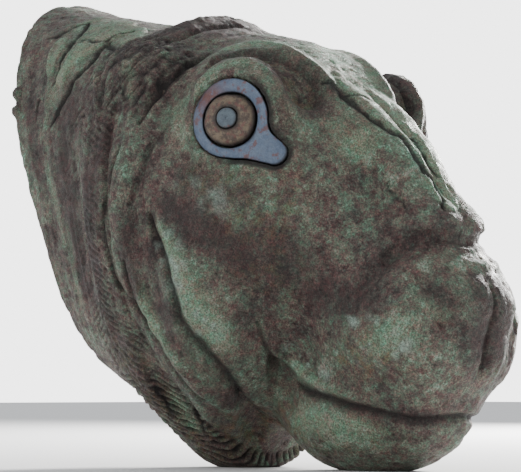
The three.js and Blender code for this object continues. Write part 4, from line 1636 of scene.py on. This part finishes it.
def mottle_group() -> bpy.types.NodeTree:
    """Make the mask group that every finish shares: soft-edged blotches of one size.

    Returns:
        The group. Its mask rises from 0 to 1 where a noise passes 1 less the coverage.
    """
    group = bpy.data.node_groups.new("mottle", "ShaderNodeTree")
    for name, default in (("Size", 30.0), ("Coverage", 0.5), ("Softness", 0.1), ("Roughness", 0.6)):
        socket = group.interface.new_socket(name, in_out="INPUT", socket_type="NodeSocketFloat")
        socket.default_value = default
    group.interface.new_socket("Place", in_out="INPUT", socket_type="NodeSocketVector")
    group.interface.new_socket("Mask", in_out="OUTPUT", socket_type="NodeSocketFloat")
    nodes, links = group.nodes, group.links
    enter, leave = nodes.new("NodeGroupInput"), nodes.new("NodeGroupOutput")
    noise = nodes.new("ShaderNodeTexNoise")
    noise.inputs["Detail"].default_value = 5.0
    low, high = nodes.new("ShaderNodeMath"), nodes.new("ShaderNodeMath")
    ramp = nodes.new("ShaderNodeMapRange")
    low.operation, high.operation = "SUBTRACT", "ADD"
    ramp.interpolation_type = "SMOOTHSTEP"
    links.new(enter.outputs["Place"], noise.inputs["Vector"])
    links.new(enter.outputs["Size"], noise.inputs["Scale"])
    links.new(enter.outputs["Roughness"], noise.inputs["Roughness"])
    flip = nodes.new("ShaderNodeMath")
    flip.operation = "SUBTRACT"
    flip.inputs[0].default_value = 1.0
    links.new(enter.outputs["Coverage"], flip.inputs[1])
    for maths, end in ((low, "From Min"), (high, "From Max")):
        links.new(flip.outputs[0], maths.inputs[0])
        links.new(enter.outputs["Softness"], maths.inputs[1])
        links.new(maths.outputs[0], ramp.inputs[end])
    links.new(noise.outputs["Fac"], ramp.inputs["Value"])
    links.new(ramp.outputs["Result"], leave.inputs["Mask"])
    return group


class FinishNodes:
    """The node tree of one material, with short ways to add what the finishes are made of."""

    def __init__(self, name: str, mottle: bpy.types.NodeTree) -> None:
        """Start a material with its shader and its place.

        Args:
            name: The material's name.
            mottle: The shared mask group.
        """
        self.material = bpy.data.materials.new(name)
        self.material.use_nodes = True
        self.nodes, self.links = self.material.node_tree.nodes, self.material.node_tree.links
        self.shader = self.nodes["Principled BSDF"]
        self.place = self.nodes.new("ShaderNodeTexCoord").outputs["Object"]
        self.group = mottle

    def put(self, socket: bpy.types.NodeSocket, value: Input) -> None:
        """Give a node's input its value.

        Args:
            socket: The input.
            value: A socket, which is linked, or a number or colour, which is set.
        """
        if isinstance(value, bpy.types.NodeSocket):
            self.links.new(value, socket)
        else:
            socket.default_value = value

    def mottle(self, size: float, coverage: float, softness: float,
               rough: float = 0.6) -> bpy.types.NodeSocket:
        """Add a blotch mask.

        Args:
            size: Blotches in a metre.
            coverage: Share of the surface, about.
            softness: Half the width of the edges, as a step of the noise.
            rough: How strong the noise's finer layers are.

        Returns:
            The mask.
        """
        node = self.nodes.new("ShaderNodeGroup")
        node.node_tree = self.group
        values = {"Size": size, "Coverage": coverage, "Softness": softness, "Roughness": rough}
        for key, value in values.items():
            node.inputs[key].default_value = value
        self.links.new(self.place, node.inputs["Place"])
        return node.outputs["Mask"]

    def attribute(self, name: str) -> bpy.types.NodeSocket:
        """Read a number that the mesh holds on its vertices.

        Args:
            name: The attribute's name.

        Returns:
            The number.
        """
        node = self.nodes.new("ShaderNodeAttribute")
        node.attribute_name = name
        return node.outputs["Fac"]

    def maths(self, operation: str, first: Input, second: Input,
              clamp: bool = False) -> bpy.types.NodeSocket:
        """Work out one number from two.

        Args:
            operation: What the Math node does.
            first: Its first input.
            second: Its second input.
            clamp: Whether the result is kept from 0 to 1.

        Returns:
            The result.
        """
        node = self.nodes.new("ShaderNodeMath")
        node.operation, node.use_clamp = operation, clamp
        self.put(node.inputs[0], first)
        self.put(node.inputs[1], second)
        return node.outputs[0]

    def mix(self, amount: Input, under: Input, over: Input,
            blend: str = "MIX") -> bpy.types.NodeSocket:
        """Lay one colour over another.

        Args:
            amount: How much of it is laid.
            under: The colour below.
            over: The colour laid on it.
            blend: How the Mix node lays it.

        Returns:
            The mixed colour.
        """
        node = self.nodes.new("ShaderNodeMix")
        node.data_type, node.blend_type = "RGBA", blend
        self.put(node.inputs[0], amount)
        self.put(node.inputs[6], under)
        self.put(node.inputs[7], over)
        return node.outputs[2]

    def ramp(self, value: bpy.types.NodeSocket, stops: tuple) -> bpy.types.NodeSocket:
        """Turn a number into a colour.

        Args:
            value: The number.
            stops: Places from 0 to 1, each with its display colour.

        Returns:
            The colour.
        """
        node = self.nodes.new("ShaderNodeValToRGB")
        elements = node.color_ramp.elements
        while len(elements) < len(stops):
            elements.new(0.5)
        for element, (place, colour) in zip(elements, stops):
            element.position, element.color = place, linear(*colour)
        self.links.new(value, node.inputs["Fac"])
        return node.outputs["Color"]

    def bump(self, height: bpy.types.NodeSocket, distance: float, strength: float) -> None:
        """Roughen the surface, on top of what the mesh already shapes.

        Args:
            height: Height from 0 to about 1.
            distance: Metres that a height of 1 stands for.
            strength: How much of it the light sees.
        """
        node = self.nodes.new("ShaderNodeBump")
        node.inputs["Distance"].default_value = distance
        node.inputs["Strength"].default_value = strength
        self.links.new(height, node.inputs["Height"])
        self.links.new(node.outputs["Normal"], self.shader.inputs["Normal"])

    def feed(self, name: str, value: bpy.types.NodeSocket) -> None:
        """Link a value to one of the shader's inputs."""
        self.links.new(value, self.shader.inputs[name])


@dataclass(frozen=True)
class PatinaFinish:
    """Corroded copper alloy: brown metal and earth under patchy grey-green crust, with painted
    shade and a painted highlight.
    """

    tones: tuple = (
        (0.0, (0.20, 0.15, 0.15)), (0.2, (0.32, 0.26, 0.25)), (0.38, (0.39, 0.35, 0.33)),
        (0.52, (0.42, 0.41, 0.37)), (0.66, (0.45, 0.475, 0.415)), (0.8, (0.49, 0.545, 0.48)),
        (1.0, (0.61, 0.68, 0.63)),
    )
    # Painted shade colour, laid in the cuts, cracks and grooves.
    deep: tuple = (0.115, 0.09, 0.09)
    green: tuple = (0.55, 0.63, 0.53)
    pale: tuple = (0.66, 0.75, 0.70)
    ochre: tuple = (0.47, 0.42, 0.29)
    red_tint: tuple = (1.19, 0.90, 0.93, 1.0)
    green_tint: tuple = (0.81, 1.085, 1.01, 1.0)
    umber: tuple = (0.27, 0.215, 0.205)

    def tone(self, f: FinishNodes) -> bpy.types.NodeSocket:
        """Sum what makes the metal lighter or darker.

        Args:
            f: The material's nodes.

        Returns:
            The tone from 0 to 1: blotches of four sizes, the shape and the patches, weighted; the
                hollow and dark numbers lower it as painted shade.
        """
        parts = ((0.12, f.mottle(30, 0.5, 0.2, 0.7)), (0.27, f.mottle(95, 0.5, 0.08, 0.75)),
                 (0.29, f.mottle(230, 0.5, 0.08, 0.75)), (0.23, f.mottle(560, 0.5, 0.16, 0.7)),
                 (0.42, f.attribute("swell")), (0.30, f.attribute("pale")),
                 (-0.40, f.attribute("dark")), (-0.25, f.attribute("hollow")))
        total = -0.13
        for weight, value in parts:
            total = f.maths("ADD", total, f.maths("MULTIPLY", weight, value))
        return f.maths("ADD", total, 0.0, clamp=True)

    def tint(self, f: FinishNodes, colour: bpy.types.NodeSocket, size: float,
             amount: float) -> bpy.types.NodeSocket:
        """Shift the hue between red and green in blotches of one size."""
        turn = f.mix(f.mottle(size, 0.5, 0.1, 0.8), self.red_tint, self.green_tint)
        return f.mix(amount, colour, turn, "MULTIPLY")

    def material(self, mottle: bpy.types.NodeTree) -> bpy.types.Material:
        """Build the material: green crust on raised places, red-brown and painted shade in the
        hollows and cuts.

        Args:
            mottle: The shared mask group.

        Returns:
            The material.
        """
        f = FinishNodes("patina", mottle)
        pale, middle = f.attribute("pale"), f.mottle(120, 0.5, 0.13, 0.75)
        colour = f.ramp(self.tone(f), self.tones)
        colour = f.mix(f.maths("MULTIPLY", f.attribute("warm"), f.mottle(150, 0.46, 0.1, 0.75)),
                       colour, linear(*self.ochre))
        crusted = f.maths("ADD", 0.48, f.maths("MULTIPLY", middle, 0.5))
        raised = f.maths("MULTIPLY", pale, crusted, clamp=True)
        colour = f.mix(raised, colour, linear(*self.green))
        flecks = f.maths("MULTIPLY", f.mottle(300, 0.38, 0.06, 0.7), f.maths("ADD", pale, 0.35),
                         clamp=True)
        colour = f.mix(f.maths("MULTIPLY", flecks, 0.7), colour, linear(*self.pale))
        # Painted shade and earth colour: umber laid over the dark patches.
        shade_and_earth = f.maths("MULTIPLY", f.attribute("dark"),
                         f.maths("ADD", 0.5, f.maths("MULTIPLY", middle, 0.4)))
        colour = f.mix(shade_and_earth, colour, linear(*self.umber))
        for size, amount in ((45.0, 0.5), (130.0, 0.6), (320.0, 0.6), (800.0, 0.8)):
            colour = self.tint(f, colour, size, amount)
        colour = f.mix(f.maths("MULTIPLY", f.attribute("chip"), 0.95), colour, linear(*self.pale))
        # Painted shade: the 'cut' number darkens cuts, cracks, grooves and the eyes' inner gaps
        # towards the deep colour.
        colour = f.mix(f.maths("MULTIPLY", f.attribute("cut"), 0.9), colour, linear(*self.deep))
        grain = f.mottle(1000, 0.5, 0.16, 0.8)
        specks = f.mix(grain, linear(0.33, 0.31, 0.31), linear(1.0, 1.0, 1.0))
        colour = f.mix(0.85, colour, specks, "MULTIPLY")
        f.feed("Base Color", colour)
        f.feed("Roughness", f.maths("ADD", 0.50, f.maths("MULTIPLY", middle, 0.28)))
        f.feed("Metallic", f.maths("MULTIPLY", f.maths("SUBTRACT", 1.0, middle), 0.25))
        f.shader.inputs["Specular IOR Level"].default_value = 0.5
        fine = f.mottle(420, 0.5, 0.16, 0.7)
        height = f.maths("ADD", f.maths("MULTIPLY", fine, 0.5), f.maths("MULTIPLY", grain, 0.35))
        f.bump(f.maths("ADD", height, f.maths("MULTIPLY", middle, 0.5)), 0.0009, 0.75)
        return f.material


@dataclass(frozen=True)
class StoneFinish:
    """An inlay's stone or paste, stained by the metal round it."""

    name: str
    body: tuple
    second: tuple
    stain: tuple = (0.40, 0.25, 0.23)
    grime_and_shade: tuple = (0.10, 0.085, 0.08)
    staining: float = 0.42

    def material(self, mottle: bpy.types.NodeTree) -> bpy.types.Material:
        """Build the material: two clouded tones, rusty stains, and grime and painted shade at the
        edges.

        Args:
            mottle: The shared mask group.

        Returns:
            The material.
        """
        f = FinishNodes(self.name, mottle)
        clouds, fine = f.mottle(240, 0.5, 0.08, 0.7), f.mottle(520, 0.5, 0.2)
        colour = f.mix(clouds, linear(*self.body), linear(*self.second))
        spots = f.mottle(210, self.staining, 0.05)
        colour = f.mix(f.maths("MULTIPLY", spots, 0.75), colour, linear(*self.stain))
        marked = f.maths("MULTIPLY", f.attribute("stain"), f.mottle(230, 0.6, 0.08), clamp=True)
        colour = f.mix(f.maths("MULTIPLY", marked, 0.95), colour, linear(*self.stain))
        # Painted shade and grime: the inlay's edges darken where it meets the socket or the next
        # inlay.
        colour = f.mix(f.maths("MULTIPLY", f.attribute("cut"), 0.9), colour, linear(*self.grime_and_shade))
        grain = f.mottle(1100, 0.5, 0.25, 0.7)
        specks = f.mix(grain, linear(0.6, 0.6, 0.6), linear(1.0, 1.0, 1.0))
        colour = f.mix(0.5, colour, specks, "MULTIPLY")
        f.feed("Base Color", colour)
        f.feed("Roughness", f.maths("ADD", 0.48, f.maths("MULTIPLY", fine, 0.25)))
        height = f.maths("ADD", f.maths("MULTIPLY", fine, 0.6), f.maths("MULTIPLY", grain, 0.3))
        f.bump(height, 0.0004, 0.6)
        return f.material


BLUE_WHITE_STONE = StoneFinish("blue_white_stone", (0.375, 0.43, 0.505), (0.34, 0.40, 0.485))
BROWN_STONE = StoneFinish("brown_stone", (0.44, 0.385, 0.315), (0.29, 0.24, 0.21), staining=0.44)
GREY_STONE = StoneFinish("grey_stone", (0.345, 0.40, 0.435), (0.30, 0.345, 0.385), staining=0.36)


# ---- the studio ----

@dataclass(frozen=True)
class Lamp:
    """One soft square light: its place and size in metres, its power in watts and its tint."""

    name: str
    place: tuple
    size: float
    power: float
    tint: tuple


@dataclass(frozen=True)
class Studio:
    """A pale floor, a pale surround, soft lights and the camera."""

    lamps: tuple = (
        Lamp("top_light", (-0.46, 1.8, 0.79), 0.5, 175.0, (1.0, 0.99, 0.97)),
        Lamp("low_light", (0.5, -1.7, 0.1), 1.2, 16.0, (1.0, 0.98, 0.96)),
    )
    lamp_aim: tuple = (0.0, 0.0, 0.14)
    floor_half: float = 6.0
    floor_colour: tuple = (0.8, 0.8, 0.8, 1.0)
    aim: tuple = (0.0, 0.0, 144.0)
    distance: float = 1800.0
    turn_degrees: float = 43.0
    rise_degrees: float = -3.0
    lens: float = 199.0
    sensor_width: float = 36.0
    surround_glow: float = 0.92
    surround_seen: float = 4.0

    def view(self) -> np.ndarray:
        """Work out where the camera stands: ahead of the head, to its right and low.

        Returns:
            The unit vector from the head to the camera.
        """
        turn, rise = math.radians(self.turn_degrees), math.radians(self.rise_degrees)
        level = math.cos(rise)
        return np.array([math.cos(turn) * level, -math.sin(turn) * level, math.sin(rise)])

    def place(self, thing: bpy.types.Object, place: np.ndarray, aim: np.ndarray) -> None:
        """Stand a camera or light at a place, looking at an aim."""
        thing.location = Vector(place)
        thing.rotation_euler = Vector(aim - place).to_track_quat("-Z", "Y").to_euler()

    def camera(self, shift: np.ndarray) -> None:
        """Make the camera and use it for the scene.

        Args:
            shift: Way in millimetres from the head's own place to the one in the CAD.
        """
        data = bpy.data.cameras.new("camera")
        data.lens, data.sensor_width = self.lens, self.sensor_width
        camera = in_scene("camera", data)
        aim = (np.array(self.aim) + shift) * METRE
        self.place(camera, aim + self.view() * self.distance * METRE, aim)
        bpy.context.scene.camera = camera

    def light(self, lamp: Lamp) -> None:
        """Make one light that looks at the head.

        Args:
            lamp: What it is like.
        """
        data = bpy.data.lights.new(lamp.name, "AREA")
        data.size, data.energy, data.color = lamp.size, lamp.power, lamp.tint
        self.place(in_scene(lamp.name, data), np.array(lamp.place), np.array(self.lamp_aim))

    def floor(self) -> None:
        """Make the floor, one wide pale sheet."""
        mesh = bpy.data.meshes.new("floor")
        half = self.floor_half
        corners = [(-half, -half, 0), (half, -half, 0), (half, half, 0), (-half, half, 0)]
        mesh.from_pydata(corners, [], [(0, 1, 2, 3)])
        material = bpy.data.materials.new("pale_floor")
        material.use_nodes = True
        shader = material.node_tree.nodes["Principled BSDF"]
        shader.inputs["Base Color"].default_value = self.floor_colour
        shader.inputs["Roughness"].default_value = 0.9
        mesh.materials.append(material)
        in_scene("floor", mesh)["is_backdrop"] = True

    def surround(self) -> None:
        """Light everything a little from all round, from a pale sky."""
        world = bpy.data.worlds.new("surround")
        world.use_nodes = True
        nodes, links = world.node_tree.nodes, world.node_tree.links
        glow = nodes["Background"]
        glow.inputs["Color"].default_value = (0.95, 0.97, 1.0, 1.0)
        glow.inputs["Strength"].default_value = self.surround_glow
        seen = nodes.new("ShaderNodeBackground")
        seen.inputs["Color"].default_value = (1.0, 1.0, 1.0, 1.0)
        seen.inputs["Strength"].default_value = self.surround_seen
        path, either = nodes.new("ShaderNodeLightPath"), nodes.new("ShaderNodeMixShader")
        links.new(path.outputs["Is Camera Ray"], either.inputs["Fac"])
        links.new(glow.outputs["Background"], either.inputs[1])
        links.new(seen.outputs["Background"], either.inputs[2])
        links.new(either.outputs["Shader"], nodes["World Output"].inputs["Surface"])
        bpy.context.scene.world = world

    def build(self, shift: np.ndarray) -> None:
        """Set up the floor, the surround, the lights and the camera.

        Args:
            shift: Way in millimetres from the head's own place to the one in the CAD.
        """
        self.floor()
        self.surround()
        for lamp in self.lamps:
            self.light(lamp)
        self.camera(shift)


def dress(piece: bpy.types.Object, material: bpy.types.Material, node: str) -> None:
    """Finish a piece and tie it to the frame.

    Args:
        piece: The piece.
        material: Its material.
        node: The CAD node that it stands for.
    """
    piece.data.materials.clear()
    piece.data.materials.append(material)
    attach(piece, "root")
    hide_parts(node)
    log.info("%s stands for %s with %d faces", piece.name, node, len(piece.data.polygons))


def main() -> None:
    """Build the head, its inlays, their finishes and the studio."""
    logging.basicConfig(level=logging.INFO)
    form = HeadForm()
    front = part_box("lion_head")[1].x / METRE
    shift = np.array([front - form.muzzle_length, 0.0, 0.0])
    maker = MeshMaker(shift)
    Studio().build(shift)
    mottle = mottle_group()
    head = LionHead(maker, form)
    dress(head.build(), PatinaFinish().material(mottle), "lion_head")
    white = BLUE_WHITE_STONE.material(mottle)
    brown = BROWN_STONE.material(mottle)
    grey = GREY_STONE.material(mottle)
    for side in Side:
        eye = EyeInlays(maker, form, side)
        dress(eye.white(), white, f"{eye.prefix()}_eye_white")
        dress(eye.iris(), brown, f"{eye.prefix()}_eye_iris")
        dress(eye.pupil(), grey, f"{eye.prefix()}_eye_pupil")
    {"cad": plain(CAD_BOUNDS), "visual": plain(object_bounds())}


def plain(bounds: tuple[Vector, Vector]) -> list[list[float]]:
    """Give a box's corners as plain lists of numbers."""
    return [[float(value) for value in corner] for corner in bounds]


if __name__ == "__main__":
    main()
